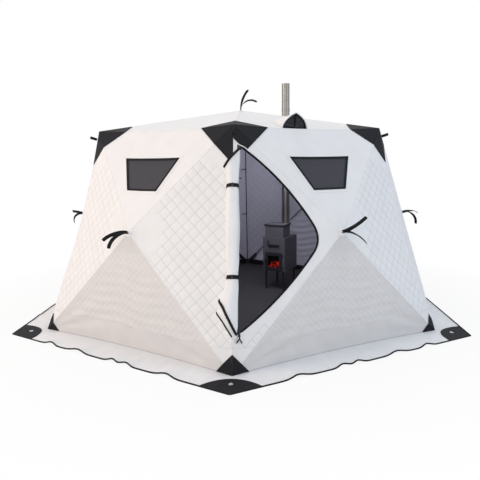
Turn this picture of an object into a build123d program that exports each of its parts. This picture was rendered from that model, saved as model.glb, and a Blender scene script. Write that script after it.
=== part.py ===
"""Six-sided pop-up hub shelter for ice fishing, with a tent stove and its flue.

Millimetres. +Z is up, the floor centre is the origin and the front corner points to -Y.
Every wall is four flat panels that meet at a hub, and the roof is six panels round a top hub.
"""
import os
from math import atan2, cos, degrees, pi, radians, sin

from build123d import *

os.makedirs("parts", exist_ok=True)

# Shell, to the outer face of the fabric
WALL_NAMES = ("front_right", "right", "back_right", "back_left", "left", "front_left")
BASE_SIDE = 2080.0
TOP_SIDE = 1525.0
CORNER_HEIGHT = 1850.0
ROOF_HEIGHT = 2100.0
HUB_TUCK = 46.0
HUB_HEIGHT = 985.0
FABRIC = 10.0
SEAM_GAP = 0.4
TIP_CUT = 20.0

# Sides of the small round pieces, which are many, as polygons
SMALL_ROUND = 10

# Windows, measured down the slope of the upper panels
WINDOW_DROP = 290.0
WINDOW_HEIGHT = 290.0
WINDOW_TOP_WIDTH = 576.0
WINDOW_BOTTOM_WIDTH = 312.0
PANE = 1.5
PANE_LAP = 22.0
TRIM = 1.5
TRIM_WIDTH = 14.0

# Doorway, measured along and across its panel from the front corner edge and from the hub
DOOR_SIDE = 40.0
DOOR_SILL = 300.0
DOOR_HEAD = 166.0
DOOR_NOSE_MARGIN = 185.0
DOOR_NOSE_DROP = 69.0
DOOR_NOSE_RADIUS = 140.0
DOOR_UPPER_BOW = 62.0
DOOR_LOWER_BOW = 46.0
ZIP = 2.0
ZIP_WIDTH = 18.0

# Rolled door and its ties
ROLL_HEAD = 105.0
ROLL = 128.0
ROLL_STANDOFF = 26.0
ROLL_GAP = 0.5
ROLL_SECTION_SHARES = (
    (0.00, 0.30), (0.05, 0.86), (0.13, 1.00), (0.30, 0.70), (0.34, 0.70),
    (0.58, 0.84), (0.82, 0.76), (0.86, 0.76), (0.95, 0.84), (1.00, 0.26),
)
TIE_SHARES = (0.32, 0.84)
TIE_SECTION_SHARES = (0.70, 0.76)
TIE = 2.0
TIE_WIDTH = 28.0
TIE_GAP = 0.6

# Snow skirt
SKIRT_WIDTH = 265.0
SKIRT = 3.0
SKIRT_PATCH_REACH = 245.0
SKIRT_PATCH_DEPTH = 240.0
EYELET_INSET = 160.0
EYELET_HOLE = 12.0
EYELET_BARREL = 17.0
EYELET_RIM = 1.5
EYELET_FIT = 0.3

# Corner caps and patches
PATCH = 2.5
PATCH_GAP = 0.3
PATCH_OVERRUN = 12.0
CAP_REACH = 328.0
CAP_RIDGE_REACH = 215.0
FOOT_REACH = 152.0
FOOT_RIDGE_REACH = 112.0
GUY_DROP = 78.0
GUY_LENGTH = 68.0
GUY_WIDTH = 25.0
GUY = 4.0

# Poles, hubs and corner joints
POLE = 11.0
POLE_FIT = 0.3
SOCKET = 22.0
SOCKET_SEAT = 42.0
SOCKET_LENGTH = 82.0
POCKET = 30.0
POCKET_LENGTH = 210.0
HUB_BODY = 64.0
HUB_THICKNESS = 30.0
HUB_STUD = 12.0
CUP = 52.0
CUP_HEIGHT = 44.0
FRAME_GAP = 2.0

# Pull straps at the hubs, each tail as its clock angle and its bend in degrees
STRAP_WIDTH = 24.0
STRAP = 3.0
STRAP_LENGTH = 245.0
STRAP_PLATE = 58.0
STRAP_PLATE_THICKNESS = 4.0
STRAP_BENDS = 5
WALL_STRAP_TAILS = (
    ((38.0, 70.0), (-48.0, 105.0)),
    ((-30.0, 75.0), (-80.0, 112.0)),
    ((-115.0, 100.0), (-60.0, 112.0)),
    ((-125.0, 105.0), (-70.0, 110.0)),
    ((196.0, 72.0), (-118.0, 110.0)),
    ((205.0, 105.0), (-128.0, 118.0)),
)
ROOF_STRAP_TAILS = ((20.0, 42.0), (-10.0, 128.0))

# Roof vent
VENT_ROOF = 0
VENT_SHIFT = -141.0
VENT_SETBACK = 38.0
VENT_WIDTH = 257.0
VENT_HEIGHT = 132.0
VENT_LENGTH = 330.0
VENT_TAIL_SHARE = 0.16
VENT_ARCH_SHARES = ((-0.5, 0.0), (0.5, 0.0), (0.37, 0.56), (0.0, 1.0), (-0.37, 0.56))
VENT_SHELL = 5.0
VENT_MESH = 2.0
VENT_MESH_INSET = 10.0
VENT_HOLE_WIDTH = 170.0
VENT_HOLE_LENGTH = 190.0

# Floor mat
MAT = 6.0
MAT_GAP = 12.0

# Stove, its feet on the mat
STOVE_X = 446.0
STOVE_Y = 612.0
STOVE_TURN = -25.0
STOVE_WIDTH = 290.0
STOVE_DEPTH = 400.0
STOVE_HEIGHT = 405.0
STOVE_WALL = 3.0
STOVE_ROUND = 18.0
LEG_HEIGHT = 228.0
LEG = 22.0
LEG_INSET = 32.0
FOOT_PAD = 40.0
FOOT_PAD_THICKNESS = 6.0
FIRE_OPENING_WIDTH = 182.0
FIRE_OPENING_HEIGHT = 182.0
FIRE_OPENING_RISE = 26.0
SLIDE_LENGTH = 132.0
SLIDE_HEIGHT = 12.0
SLIDE_DEPTH = 12.0
SLIDE_RISE = 318.0
TOP_BOX_WIDTH = 240.0
TOP_BOX_DEPTH = 215.0
TOP_BOX_HEIGHT = 142.0
TOP_BOX_ROUND = 14.0
TOP_BOX_SHIFT = -78.0
TOP_LID_LAP = 5.0
TOP_LID = 14.0

# Stove door and its lift-off hinges
FIRE_DOOR_WIDTH = 216.0
FIRE_DOOR_HEIGHT = 222.0
FIRE_DOOR = 6.0
FIRE_DOOR_GAP = 5.0
FIRE_DOOR_ROUND = 14.0
GLASS_WIDTH = 146.0
GLASS_HEIGHT = 142.0
GLASS_LAP = 9.0
GLASS = 4.0
HINGE_PIN = 6.0
HINGE_FIT = 0.1
HINGE_BARREL = 14.0
HINGE_LENGTH = 34.0
HINGE_LEAF = 4.0
HINGE_STANDOFF = 9.0
HINGE_SPREAD = 68.0
HINGE_BRACKET = 9.0
HINGE_LIFT = 0.5
HANDLE_INSET = 18.0
HANDLE = 12.0
HANDLE_STANDOFF = 30.0
HANDLE_LENGTH = 86.0

# Flue
FLUE = 94.0
FLUE_WALL = 2.0
FLUE_SHIFT = 25.0
FLUE_BACK = 118.0
FLUE_TOP = 2480.0
FLUE_FIT = 0.4
BAND = 3.0
BAND_HEIGHT = 34.0
BAND_SHARES = (0.30, 0.56, 0.82)
COLLAR = 4.0
COLLAR_HEIGHT = 38.0
JACK_WIDTH = 260.0
JACK_ROUND = 24.0
JACK = 3.0
JACK_FIT = 0.5
JACK_HOLE_MARGIN = 26.0

SIDES = len(WALL_NAMES)
CORNER_ANGLES = [-90 + 360 * i / SIDES for i in range(SIDES)]
WALL_ANGLES = [-90 + 360 * (i + 1 / 2) / SIDES for i in range(SIDES)]
BASE_RADIUS = BASE_SIDE / (2 * sin(pi / SIDES))
TOP_RADIUS = TOP_SIDE / (2 * sin(pi / SIDES))
HUB_REACH = BASE_RADIUS * cos(pi / SIDES) - HUB_TUCK
SKIRT_RADIUS = BASE_RADIUS + SKIRT_WIDTH / cos(pi / SIDES)


def save(builder, label):
    """Label a finished piece and write its STEP file."""
    builder.part.label = label
    export_step(builder.part, f"parts/{label}.step")


def at(radius, angle, height):
    """Point at a radius from the axis, an angle in degrees and a height."""
    return Vector(radius * cos(radians(angle)), radius * sin(radians(angle)), height)


def heading(angle):
    """Level direction at an angle in degrees."""
    return Vector(cos(radians(angle)), sin(radians(angle)), 0)


def small_round(diameter):
    """A small round section, its flats at the diameter."""
    return RegularPolygon(diameter / 2, SMALL_ROUND, major_radius=False)


# The shell as points and as triangles that run anticlockwise seen from outside
ROOF_TIP = ("roof", 0)
POINTS = {ROOF_TIP: Vector(0, 0, ROOF_HEIGHT)}
PANELS = {}
for i in range(SIDES):
    POINTS["base", i] = at(BASE_RADIUS, CORNER_ANGLES[i], 0)
    POINTS["top", i] = at(TOP_RADIUS, CORNER_ANGLES[i], CORNER_HEIGHT)
    POINTS["hub", i] = at(HUB_REACH, WALL_ANGLES[i], HUB_HEIGHT)
for i in range(SIDES):
    j = (i + 1) % SIDES
    PANELS["upper", i] = (("top", i), ("hub", i), ("top", j))
    PANELS["lower", i] = (("base", i), ("base", j), ("hub", i))
    PANELS["left_side", i] = (("base", i), ("hub", i), ("top", i))
    PANELS["right_side", i] = (("base", j), ("top", j), ("hub", i))
    PANELS["roof", i] = (("top", i), ("top", j), ROOF_TIP)


def corners(panel):
    """The three corner points of a panel."""
    return [POINTS[label] for label in PANELS[panel]]


def middle(panel):
    """The middle of a panel."""
    a, b, c = corners(panel)
    return (a + b + c) / 3


def normal(panel):
    """Outward normal of a panel."""
    a, b, c = corners(panel)
    return (b - a).cross(c - a).normalized()


def panels_at(corner):
    """The panels that meet at a corner."""
    return [panel for panel, labels in PANELS.items() if corner in labels]


def outward(corner):
    """Direction straight out of a corner, the mean of its panels' normals."""
    return sum((normal(panel) for panel in panels_at(corner)), Vector(0, 0, 0)).normalized()


def panel_plane(panel):
    """Plane on a panel's outer face, from its first corner."""
    a, b, _ = corners(panel)
    return Plane(origin=a, x_dir=b - a, z_dir=normal(panel))


def facing_plane(point, along, lean, inside):
    """Plane through a point that holds two directions and faces a point inside."""
    facing = along.cross(lean).normalized()
    if facing.dot(inside - point) < 0:
        facing = -facing
    return Plane(origin=point, z_dir=facing)


def seam(panel, first, second):
    """Mitre plane on one edge of a panel, or the ground where no other panel meets it."""
    start, end = POINTS[first], POINTS[second]
    for other, labels in PANELS.items():
        if other != panel and first in labels and second in labels:
            return facing_plane(start, end - start, normal(panel) + normal(other), middle(panel))
    return Plane.XY


def mitred_panel(panel):
    """A flat fabric panel, mitred along its seams, cut level at the ground and blunt at its tips."""
    plane = panel_plane(panel)
    first, second, third = PANELS[panel]
    with BuildPart() as slab:
        with BuildSketch(plane):
            with BuildLine():
                Polyline(*[plane.to_local_coords(point) for point in corners(panel)], close=True)
            make_face()
        extrude(amount=-FABRIC)
        for ends in ((first, second), (second, third), (third, first)):
            mitre = seam(panel, *ends)
            split(bisect_by=mitre.offset(SEAM_GAP / 2) if mitre != Plane.XY else mitre, keep=Keep.TOP)
        split(bisect_by=Plane.XY, keep=Keep.TOP)
        for tip in corners(panel):
            way = (middle(panel) - tip).normalized()
            split(bisect_by=Plane(origin=tip + way * TIP_CUT, z_dir=way), keep=Keep.TOP)
    return slab.part


def corner_patch(corner, reaches, floor):
    """A thin patch over every panel that meets a corner, out to a reach along each seam."""
    facets = []
    for panel, labels in PANELS.items():
        if corner in labels:
            plane = panel_plane(panel)
            tip = POINTS[corner]
            others = [label for label in labels if label != corner]
            ends = [tip + (POINTS[label] - tip).normalized() * reaches[label[0]] for label in others]
            with BuildPart() as facet:
                with BuildSketch(plane):
                    with BuildLine():
                        Polyline(*[plane.to_local_coords(point) for point in (tip, *ends)], close=True)
                    make_face()
                    offset(amount=PATCH_OVERRUN, kind=Kind.INTERSECTION)
                extrude(amount=PATCH)
                for label in others:
                    split(bisect_by=seam(panel, corner, label), keep=Keep.TOP)
                split(bisect_by=facing_plane(ends[0], ends[1] - ends[0], normal(panel), tip), keep=Keep.TOP)
                split(bisect_by=Plane.XY.offset(floor), keep=Keep.TOP)
            facets.append(facet.part)
    with BuildPart() as patch:
        add(facets)
    return patch.part


def seat(point, panels, direction, depth):
    """Point straight in from a point on the shell, a depth clear of the nearest of the panels."""
    return point - direction * (depth / min(normal(panel).dot(direction) for panel in panels))


def socket_joint(core, centre, out, targets, size, length):
    """A core with a square arm towards each target and a blind pole socket in its end."""
    ways = [(target - centre).normalized() for target in targets]
    with BuildPart() as joint:
        add(core)
        for way in ways:
            with BuildSketch(Plane(origin=centre, x_dir=way.cross(out), z_dir=way)):
                Rectangle(size, size)
            extrude(amount=length)
        for way in ways:
            with BuildSketch(Plane(origin=centre + way * SOCKET_SEAT, x_dir=way.cross(out), z_dir=way)):
                Rectangle(POLE + 2 * POLE_FIT, POLE + 2 * POLE_FIT)
            extrude(amount=length - SOCKET_SEAT, mode=Mode.SUBTRACT)
    return joint.part


def pole(start, end):
    """A round pole between two joint centres, its ends on the floors of the sockets."""
    way = (end - start).normalized()
    with BuildPart() as rod:
        with BuildSketch(Plane(origin=start + way * SOCKET_SEAT, z_dir=way)):
            small_round(POLE)
        extrude(amount=(end - start).length - 2 * SOCKET_SEAT)
    return rod.part


def hub_core(centre, hub):
    """A hub disc with a stud that runs out to the tip of the shell."""
    out = outward(hub)
    with BuildPart() as core:
        with BuildSketch(Plane(origin=centre - out * (HUB_THICKNESS / 2), z_dir=out)):
            small_round(HUB_BODY)
        extrude(amount=HUB_THICKNESS)
        with BuildSketch(Plane(origin=centre, z_dir=out)):
            small_round(HUB_STUD)
        extrude(amount=(POINTS[hub] - centre).length)
    return core.part


def joint_cup(centre, out):
    """A round cup at a corner of the frame."""
    with BuildPart() as cup:
        with BuildSketch(Plane(origin=centre, z_dir=out)):
            small_round(CUP)
        extrude(amount=CUP_HEIGHT / 2, both=True)
    return cup.part


def pull_strap(plane, tails):
    """A plate on a hub with webbing tails that bend over towards their clock angles."""
    with BuildPart() as strap:
        with BuildSketch(plane):
            small_round(STRAP_PLATE)
        extrude(amount=STRAP_PLATE_THICKNESS)
        for clock, bend in tails:
            sideways = plane.x_dir * cos(radians(clock)) + plane.y_dir * sin(radians(clock))
            radius = STRAP_LENGTH / radians(bend)
            turns = [radians(bend) * k / STRAP_BENDS for k in range(STRAP_BENDS + 1)]
            inside, outside = radius - STRAP / 2, radius + STRAP / 2
            under = [(radius - inside * cos(turn), inside * sin(turn)) for turn in turns]
            over = [(radius - outside * cos(turn), outside * sin(turn)) for turn in reversed(turns)]
            with BuildSketch(Plane(origin=plane.origin, x_dir=sideways, z_dir=sideways.cross(plane.z_dir))):
                with BuildLine():
                    Polyline(*under, *over, close=True)
                make_face()
            extrude(amount=STRAP_WIDTH / 2, both=True)
    return strap.part


# Door panel plane: from the front base corner, x across to the hub and y up the corner edge
CORNER_EDGE = (POINTS["top", 0] - POINTS["base", 0]).normalized()
FRONT = heading(CORNER_ANGLES[0])
CORNER_OUT = (FRONT - CORNER_EDGE * CORNER_EDGE.dot(FRONT)).normalized()
CORNER_SIDE = CORNER_EDGE.cross(CORNER_OUT)
DOOR_NORMAL = normal(("left_side", 0))
DOOR_PLANE = Plane(origin=POINTS["base", 0], x_dir=CORNER_EDGE.cross(DOOR_NORMAL), z_dir=DOOR_NORMAL)
DOOR_HUB = DOOR_PLANE.to_local_coords(POINTS["hub", 0])
DOOR_FOOT = (DOOR_SIDE, DOOR_SILL)
DOOR_TOP = (DOOR_SIDE, (POINTS["top", 0] - POINTS["base", 0]).length - DOOR_HEAD)
DOOR_NOSE = (DOOR_HUB.X - DOOR_NOSE_MARGIN, DOOR_HUB.Y - DOOR_NOSE_DROP)
ROLL_LENGTH = DOOR_TOP[1] - ROLL_HEAD - DOOR_SILL


def door_face(margin):
    """Face of the doorway on its panel, grown by a margin."""
    with BuildSketch() as face:
        with BuildLine():
            SagittaArc(DOOR_TOP, DOOR_NOSE, DOOR_UPPER_BOW)
            SagittaArc(DOOR_NOSE, DOOR_FOOT, DOOR_LOWER_BOW)
            Line(DOOR_FOOT, DOOR_TOP)
        make_face()
        fillet(face.vertices().sort_by(Axis.X)[-1], radius=DOOR_NOSE_RADIUS)
        if margin:
            offset(amount=margin)
    return face.sketch


def window_plane(i):
    """Plane on a wall's upper panel, from the middle of its top edge, y up the slope."""
    left, _, right = corners(("upper", i))
    return Plane(origin=(left + right) / 2, x_dir=right - left, z_dir=normal(("upper", i)))


def window_face(margin):
    """Face of a window on its panel, grown by a margin."""
    with BuildSketch() as face:
        with BuildLine():
            Polyline(
                (-WINDOW_TOP_WIDTH / 2, -WINDOW_DROP),
                (-WINDOW_BOTTOM_WIDTH / 2, -WINDOW_DROP - WINDOW_HEIGHT),
                (WINDOW_BOTTOM_WIDTH / 2, -WINDOW_DROP - WINDOW_HEIGHT),
                (WINDOW_TOP_WIDTH / 2, -WINDOW_DROP),
                close=True,
            )
        make_face()
        if margin:
            offset(amount=margin, kind=Kind.INTERSECTION)
    return face.sketch


def roof_plane(i):
    """Plane on a roof panel, from the middle of its eaves edge, y up the slope."""
    left, right, _ = corners(("roof", i))
    return Plane(origin=(left + right) / 2, x_dir=right - left, z_dir=normal(("roof", i)))


STOVE_PLANE = Plane(
    origin=(STOVE_X, STOVE_Y, MAT), x_dir=heading(STOVE_TURN), z_dir=(0, 0, 1)
)
STOVE_TOP = LEG_HEIGHT + STOVE_HEIGHT
FLUE_FOOT = STOVE_PLANE.from_local_coords(Vector(FLUE_SHIFT, FLUE_BACK, STOVE_TOP))
FLUE_ROOF = int((degrees(atan2(FLUE_FOOT.Y, FLUE_FOOT.X)) + 90) % 360 // (360 / SIDES))

# Walls: the front right wall's left side panel is the door panel
for i, name in enumerate(WALL_NAMES):
    kinds = ("upper", "lower", "right_side") if i == 0 else ("upper", "lower", "left_side", "right_side")
    panels = [mitred_panel((kind, i)) for kind in kinds]
    with BuildPart() as wall:
        add(panels)
        with BuildSketch(window_plane(i)):
            add(window_face(0))
        extrude(amount=2 * FABRIC, both=True, mode=Mode.SUBTRACT)
    save(wall, f"{name}_wall")

DOOR_SLAB = mitred_panel(("left_side", 0))
with BuildPart() as door_panel:
    add(DOOR_SLAB)
    with BuildSketch(DOOR_PLANE):
        add(door_face(0))
    extrude(amount=2 * FABRIC, both=True, mode=Mode.SUBTRACT)
save(door_panel, "door_panel")

# Roof panels, with the vent's hole in one and the flue's hole in another
for i, name in enumerate(WALL_NAMES):
    slab = mitred_panel(("roof", i))
    with BuildPart() as roof:
        add(slab)
        if i == VENT_ROOF:
            with BuildSketch(roof_plane(i)):
                with Locations((VENT_SHIFT, VENT_SETBACK + VENT_MESH_INSET + VENT_HOLE_LENGTH / 2)):
                    Trapezoid(VENT_HOLE_WIDTH, VENT_HOLE_LENGTH, degrees(atan2(VENT_LENGTH, VENT_WIDTH / 2)))
            extrude(amount=2 * FABRIC, both=True, mode=Mode.SUBTRACT)
        if i == FLUE_ROOF:
            with BuildSketch(Plane(origin=FLUE_FOOT)):
                Circle(FLUE / 2 + JACK_HOLE_MARGIN)
            extrude(amount=FLUE_TOP, mode=Mode.SUBTRACT)
    save(roof, f"{name}_roof")

# Snow skirt strips, mitred at the corners, with half of each corner eyelet hole
for i, name in enumerate(WALL_NAMES):
    ends = (CORNER_ANGLES[i], CORNER_ANGLES[(i + 1) % SIDES])
    inner = BASE_RADIUS + SEAM_GAP
    outline = [at(inner, ends[0], 0), at(SKIRT_RADIUS, ends[0], 0),
               at(SKIRT_RADIUS, ends[1], 0), at(inner, ends[1], 0)]
    with BuildPart() as skirt:
        with BuildSketch():
            with BuildLine():
                Polyline(*outline, close=True)
            make_face()
        extrude(amount=SKIRT)
        for angle in ends:
            corner_cut = facing_plane(at(SKIRT_RADIUS, angle, 0), heading(angle), Vector(0, 0, 1),
                                      at(SKIRT_RADIUS, WALL_ANGLES[i], 0))
            split(bisect_by=corner_cut.offset(SEAM_GAP / 2), keep=Keep.TOP)
        with BuildSketch():
            with Locations(*[at(SKIRT_RADIUS - EYELET_INSET, angle, 0) for angle in ends]):
                small_round(EYELET_BARREL + 2 * EYELET_FIT)
        extrude(amount=SKIRT, mode=Mode.SUBTRACT)
    save(skirt, f"{name}_skirt")

with BuildPart() as skirt_patches:
    for i, angle in enumerate(CORNER_ANGLES):
        tip = at(SKIRT_RADIUS, angle, 0)
        before = at(SKIRT_RADIUS, CORNER_ANGLES[i - 1], 0)
        after = at(SKIRT_RADIUS, CORNER_ANGLES[(i + 1) % SIDES], 0)
        with BuildSketch(Plane(origin=(0, 0, SKIRT))):
            with BuildLine():
                Polyline(
                    tip,
                    tip + (after - tip).normalized() * SKIRT_PATCH_REACH,
                    at(SKIRT_RADIUS - SKIRT_PATCH_DEPTH, angle, 0),
                    tip + (before - tip).normalized() * SKIRT_PATCH_REACH,
                    close=True,
                )
            make_face()
        extrude(amount=PATCH)
        with BuildSketch(Plane(origin=(0, 0, SKIRT))):
            with Locations(at(SKIRT_RADIUS - EYELET_INSET, angle, 0)):
                small_round(EYELET_BARREL + 2 * EYELET_FIT)
        extrude(amount=PATCH, mode=Mode.SUBTRACT)
save(skirt_patches, "skirt_patches")

with BuildPart() as eyelets:
    with BuildSketch():
        with Locations(*[at(SKIRT_RADIUS - EYELET_INSET, angle, 0) for angle in CORNER_ANGLES]):
            small_round(EYELET_BARREL)
            Circle(EYELET_HOLE / 2, mode=Mode.SUBTRACT)
    extrude(amount=SKIRT + PATCH + EYELET_RIM)
save(eyelets, "eyelets")

# Corner caps: the front one stops at the door's zip
CAP_REACHES = {"roof": CAP_REACH, "top": CAP_REACH, "base": CAP_REACH, "hub": CAP_RIDGE_REACH}
caps = [corner_patch(("top", i), CAP_REACHES, 0) for i in range(SIDES)]
with BuildPart() as corner_caps:
    add(caps)
    with BuildSketch(DOOR_PLANE):
        add(door_face(ZIP_WIDTH + PATCH_GAP))
    extrude(amount=2 * PATCH, mode=Mode.SUBTRACT)
save(corner_caps, "corner_caps")

FOOT_REACHES = {"top": FOOT_REACH, "base": FOOT_REACH, "hub": FOOT_RIDGE_REACH}
feet = [corner_patch(("base", i), FOOT_REACHES, SKIRT + PATCH_GAP) for i in range(SIDES)]
with BuildPart() as foot_patches:
    add(feet)
save(foot_patches, "foot_patches")

with BuildPart() as guy_tabs:
    for i, angle in enumerate(CORNER_ANGLES):
        edge = (POINTS["top", i] - POINTS["base", i]).normalized()
        out = (heading(angle) - edge * edge.dot(heading(angle))).normalized()
        ridge = PATCH / normal(("left_side", i)).dot(out)
        root = POINTS["top", i] - edge * GUY_DROP + out * ridge
        with BuildSketch(Plane(origin=root, x_dir=edge, z_dir=out)):
            Rectangle(GUY_WIDTH, GUY)
        extrude(amount=GUY_LENGTH)
save(guy_tabs, "guy_tabs")

# Windows
with BuildPart() as window_panes:
    for i in range(SIDES):
        with BuildSketch(window_plane(i).offset(-FABRIC)):
            add(window_face(PANE_LAP))
        extrude(amount=-PANE)
save(window_panes, "window_panes")

with BuildPart() as window_trims:
    for i in range(SIDES):
        with BuildSketch(window_plane(i)):
            add(window_face(TRIM_WIDTH))
            add(window_face(0), mode=Mode.SUBTRACT)
        extrude(amount=TRIM)
save(window_trims, "window_trims")

# Frame: hubs, corner joints and poles
HUB_DEPTH = FABRIC + FRAME_GAP + ((HUB_BODY / 2) ** 2 + (HUB_THICKNESS / 2) ** 2) ** 0.5
CUP_DEPTH = FABRIC + FRAME_GAP + ((CUP / 2) ** 2 + (CUP_HEIGHT / 2) ** 2) ** 0.5
ROOF_CENTRE = seat(POINTS[ROOF_TIP], panels_at(ROOF_TIP), outward(ROOF_TIP), HUB_DEPTH)
HUB_CENTRES = []
TOP_CENTRES = []
BASE_CENTRES = []
for i, angle in enumerate(CORNER_ANGLES):
    hub, top = ("hub", i), ("top", i)
    HUB_CENTRES.append(seat(POINTS[hub], panels_at(hub), outward(hub), HUB_DEPTH))
    TOP_CENTRES.append(seat(POINTS[top], panels_at(top), outward(top), CUP_DEPTH))
    lift = MAT + CUP_HEIGHT / 2
    foot = POINTS["base", i] + (POINTS["top", i] - POINTS["base", i]) * (lift / CORNER_HEIGHT)
    BASE_CENTRES.append(seat(foot, panels_at(("base", i)), heading(angle), CUP_DEPTH))

hubs = []
poles = []
for i in range(SIDES):
    j = (i + 1) % SIDES
    centre = HUB_CENTRES[i]
    targets = (TOP_CENTRES[i], TOP_CENTRES[j], BASE_CENTRES[i], BASE_CENTRES[j])
    core = hub_core(centre, ("hub", i))
    hubs.append(socket_joint(core, centre, outward(("hub", i)), targets, SOCKET, SOCKET_LENGTH))
    poles.extend(pole(centre, target) for target in targets)
with BuildPart() as wall_hubs:
    add(hubs)
save(wall_hubs, "wall_hubs")
with BuildPart() as wall_poles:
    add(poles)
save(wall_poles, "wall_poles")

ROOF_JOINT = socket_joint(
    hub_core(ROOF_CENTRE, ROOF_TIP), ROOF_CENTRE, outward(ROOF_TIP), TOP_CENTRES, SOCKET, SOCKET_LENGTH
)
with BuildPart() as roof_hub:
    add(ROOF_JOINT)
save(roof_hub, "roof_hub")
poles = [pole(ROOF_CENTRE, centre) for centre in TOP_CENTRES]
with BuildPart() as roof_poles:
    add(poles)
save(roof_poles, "roof_poles")

joints = []
for i, centre in enumerate(TOP_CENTRES):
    out = outward(("top", i))
    targets = (HUB_CENTRES[i], HUB_CENTRES[i - 1], ROOF_CENTRE)
    joints.append(socket_joint(joint_cup(centre, out), centre, out, targets, SOCKET, SOCKET_LENGTH))
with BuildPart() as top_joints:
    add(joints)
save(top_joints, "top_joints")
joints = []
for i, centre in enumerate(BASE_CENTRES):
    targets = (HUB_CENTRES[i], HUB_CENTRES[i - 1])
    cup = joint_cup(centre, Vector(0, 0, 1))
    joints.append(socket_joint(cup, centre, outward(("base", i)), targets, POCKET, POCKET_LENGTH))
with BuildPart() as base_joints:
    add(joints)
save(base_joints, "base_joints")

# Pull straps on the wall hubs and on the roof hub
straps = []
for i, angle in enumerate(WALL_ANGLES):
    face = Plane(origin=POINTS["hub", i], x_dir=heading(angle + 90), z_dir=outward(("hub", i)))
    straps.append(pull_strap(face, WALL_STRAP_TAILS[i]))
straps.append(pull_strap(Plane(origin=POINTS[ROOF_TIP]), ROOF_STRAP_TAILS))
with BuildPart() as pull_straps:
    add(straps)
save(pull_straps, "pull_straps")

# Doorway: zip round the edge, the rolled door on the front corner and two ties
with BuildPart() as door_zip:
    with BuildSketch(DOOR_PLANE):
        add(door_face(ZIP_WIDTH))
        add(door_face(0), mode=Mode.SUBTRACT)
    extrude(amount=ZIP)
save(door_zip, "door_zip")


ROLL_FOOT = POINTS["base", 0] + CORNER_EDGE * DOOR_SILL + CORNER_OUT * ROLL_STANDOFF


def roll_plane(share):
    """Plane across the rolled door at a share of its length, y straight out of the corner."""
    place = ROLL_FOOT + CORNER_EDGE * (ROLL_LENGTH * share)
    return Plane(origin=place, x_dir=-CORNER_SIDE, z_dir=CORNER_EDGE)


def corner_wedge(gap):
    """The front corner of the shell, grown by a gap, as a prism to cut away."""
    across = DOOR_PLANE.x_dir * ROLL
    reach = across.dot(CORNER_SIDE)
    apex = gap / DOOR_NORMAL.dot(CORNER_OUT) - ROLL_STANDOFF
    drop = apex + across.dot(CORNER_OUT)
    with BuildPart() as wedge:
        with BuildSketch(roll_plane(0)):
            with BuildLine():
                Polyline(
                    (0, apex), (-reach, drop), (-reach, -ROLL), (reach, -ROLL), (reach, drop), close=True
                )
            make_face()
        extrude(amount=ROLL_LENGTH)
    return wedge.part


ROLL_WEDGE = corner_wedge(PATCH + ROLL_GAP)
with BuildPart() as door_roll:
    for (start, wide), (end, narrow) in zip(ROLL_SECTION_SHARES, ROLL_SECTION_SHARES[1:]):
        rise = ROLL_LENGTH * (end - start)
        with BuildSketch(roll_plane(start)):
            small_round(ROLL * wide)
        extrude(amount=rise, taper=degrees(atan2(ROLL / 2 * (wide - narrow), rise)))
    add(ROLL_WEDGE, mode=Mode.SUBTRACT)
save(door_roll, "door_roll")

TIE_WEDGE = corner_wedge(0)
with BuildPart() as door_ties:
    for share, size in zip(TIE_SHARES, TIE_SECTION_SHARES):
        with BuildSketch(roll_plane(share)):
            small_round(ROLL * size + 2 * TIE_GAP + 2 * TIE)
        extrude(amount=TIE_WIDTH / 2, both=True)
        with BuildSketch(roll_plane(share)):
            small_round(ROLL * size + 2 * TIE_GAP)
        extrude(amount=TIE_WIDTH / 2, both=True, mode=Mode.SUBTRACT)
    add(TIE_WEDGE, mode=Mode.SUBTRACT)
    add(door_zip.part, mode=Mode.SUBTRACT)
save(door_ties, "door_ties")

# Roof vent: a pointed hood that runs down to the roof behind its mesh front
VENT_PLANE = roof_plane(VENT_ROOF)


def vent_arch(setback, width, height):
    """Pointed arch that stands on the roof, a setback up the slope from the eaves."""
    origin = VENT_PLANE.from_local_coords(Vector(VENT_SHIFT, setback, 0))
    with BuildSketch(Plane(origin=origin, x_dir=-VENT_PLANE.x_dir, z_dir=VENT_PLANE.y_dir)) as arch:
        with BuildLine():
            Polyline(*[(width * x, height * y) for x, y in VENT_ARCH_SHARES], close=True)
        make_face()
    return arch.sketch


VENT_INNER_WIDTH = VENT_WIDTH - 4 * VENT_SHELL
VENT_INNER_HEIGHT = VENT_HEIGHT - 2 * VENT_SHELL


def vent_block(width, height, length):
    """Block that runs from the pointed arch down to the roof behind it, cut by the planes of its sides."""
    ring = [VENT_PLANE.from_local_coords(Vector(VENT_SHIFT - width * x, VENT_SETBACK, height * y))
            for x, y in VENT_ARCH_SHARES[1:] + VENT_ARCH_SHARES[:1]]
    far = VENT_PLANE.from_local_coords(Vector(VENT_SHIFT, VENT_SETBACK + length / (1 - VENT_TAIL_SHARE), 0))
    within = VENT_PLANE.from_local_coords(Vector(VENT_SHIFT, VENT_SETBACK, 0))
    with BuildPart() as block:
        with BuildSketch(VENT_PLANE):
            with Locations((VENT_SHIFT, VENT_SETBACK + length / 2)):
                Rectangle(width, length)
        extrude(amount=height)
        for start, end in zip(ring, ring[1:]):
            split(bisect_by=facing_plane(start, end - start, far - start, within), keep=Keep.TOP)
    return block.part


VENT_OUTER = vent_block(VENT_WIDTH, VENT_HEIGHT, VENT_LENGTH)
VENT_INNER = vent_block(VENT_INNER_WIDTH, VENT_INNER_HEIGHT, VENT_LENGTH - VENT_MESH_INSET)
with BuildPart() as vent_hood:
    add(VENT_OUTER)
    add(VENT_INNER, mode=Mode.SUBTRACT)
save(vent_hood, "vent_hood")

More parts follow.
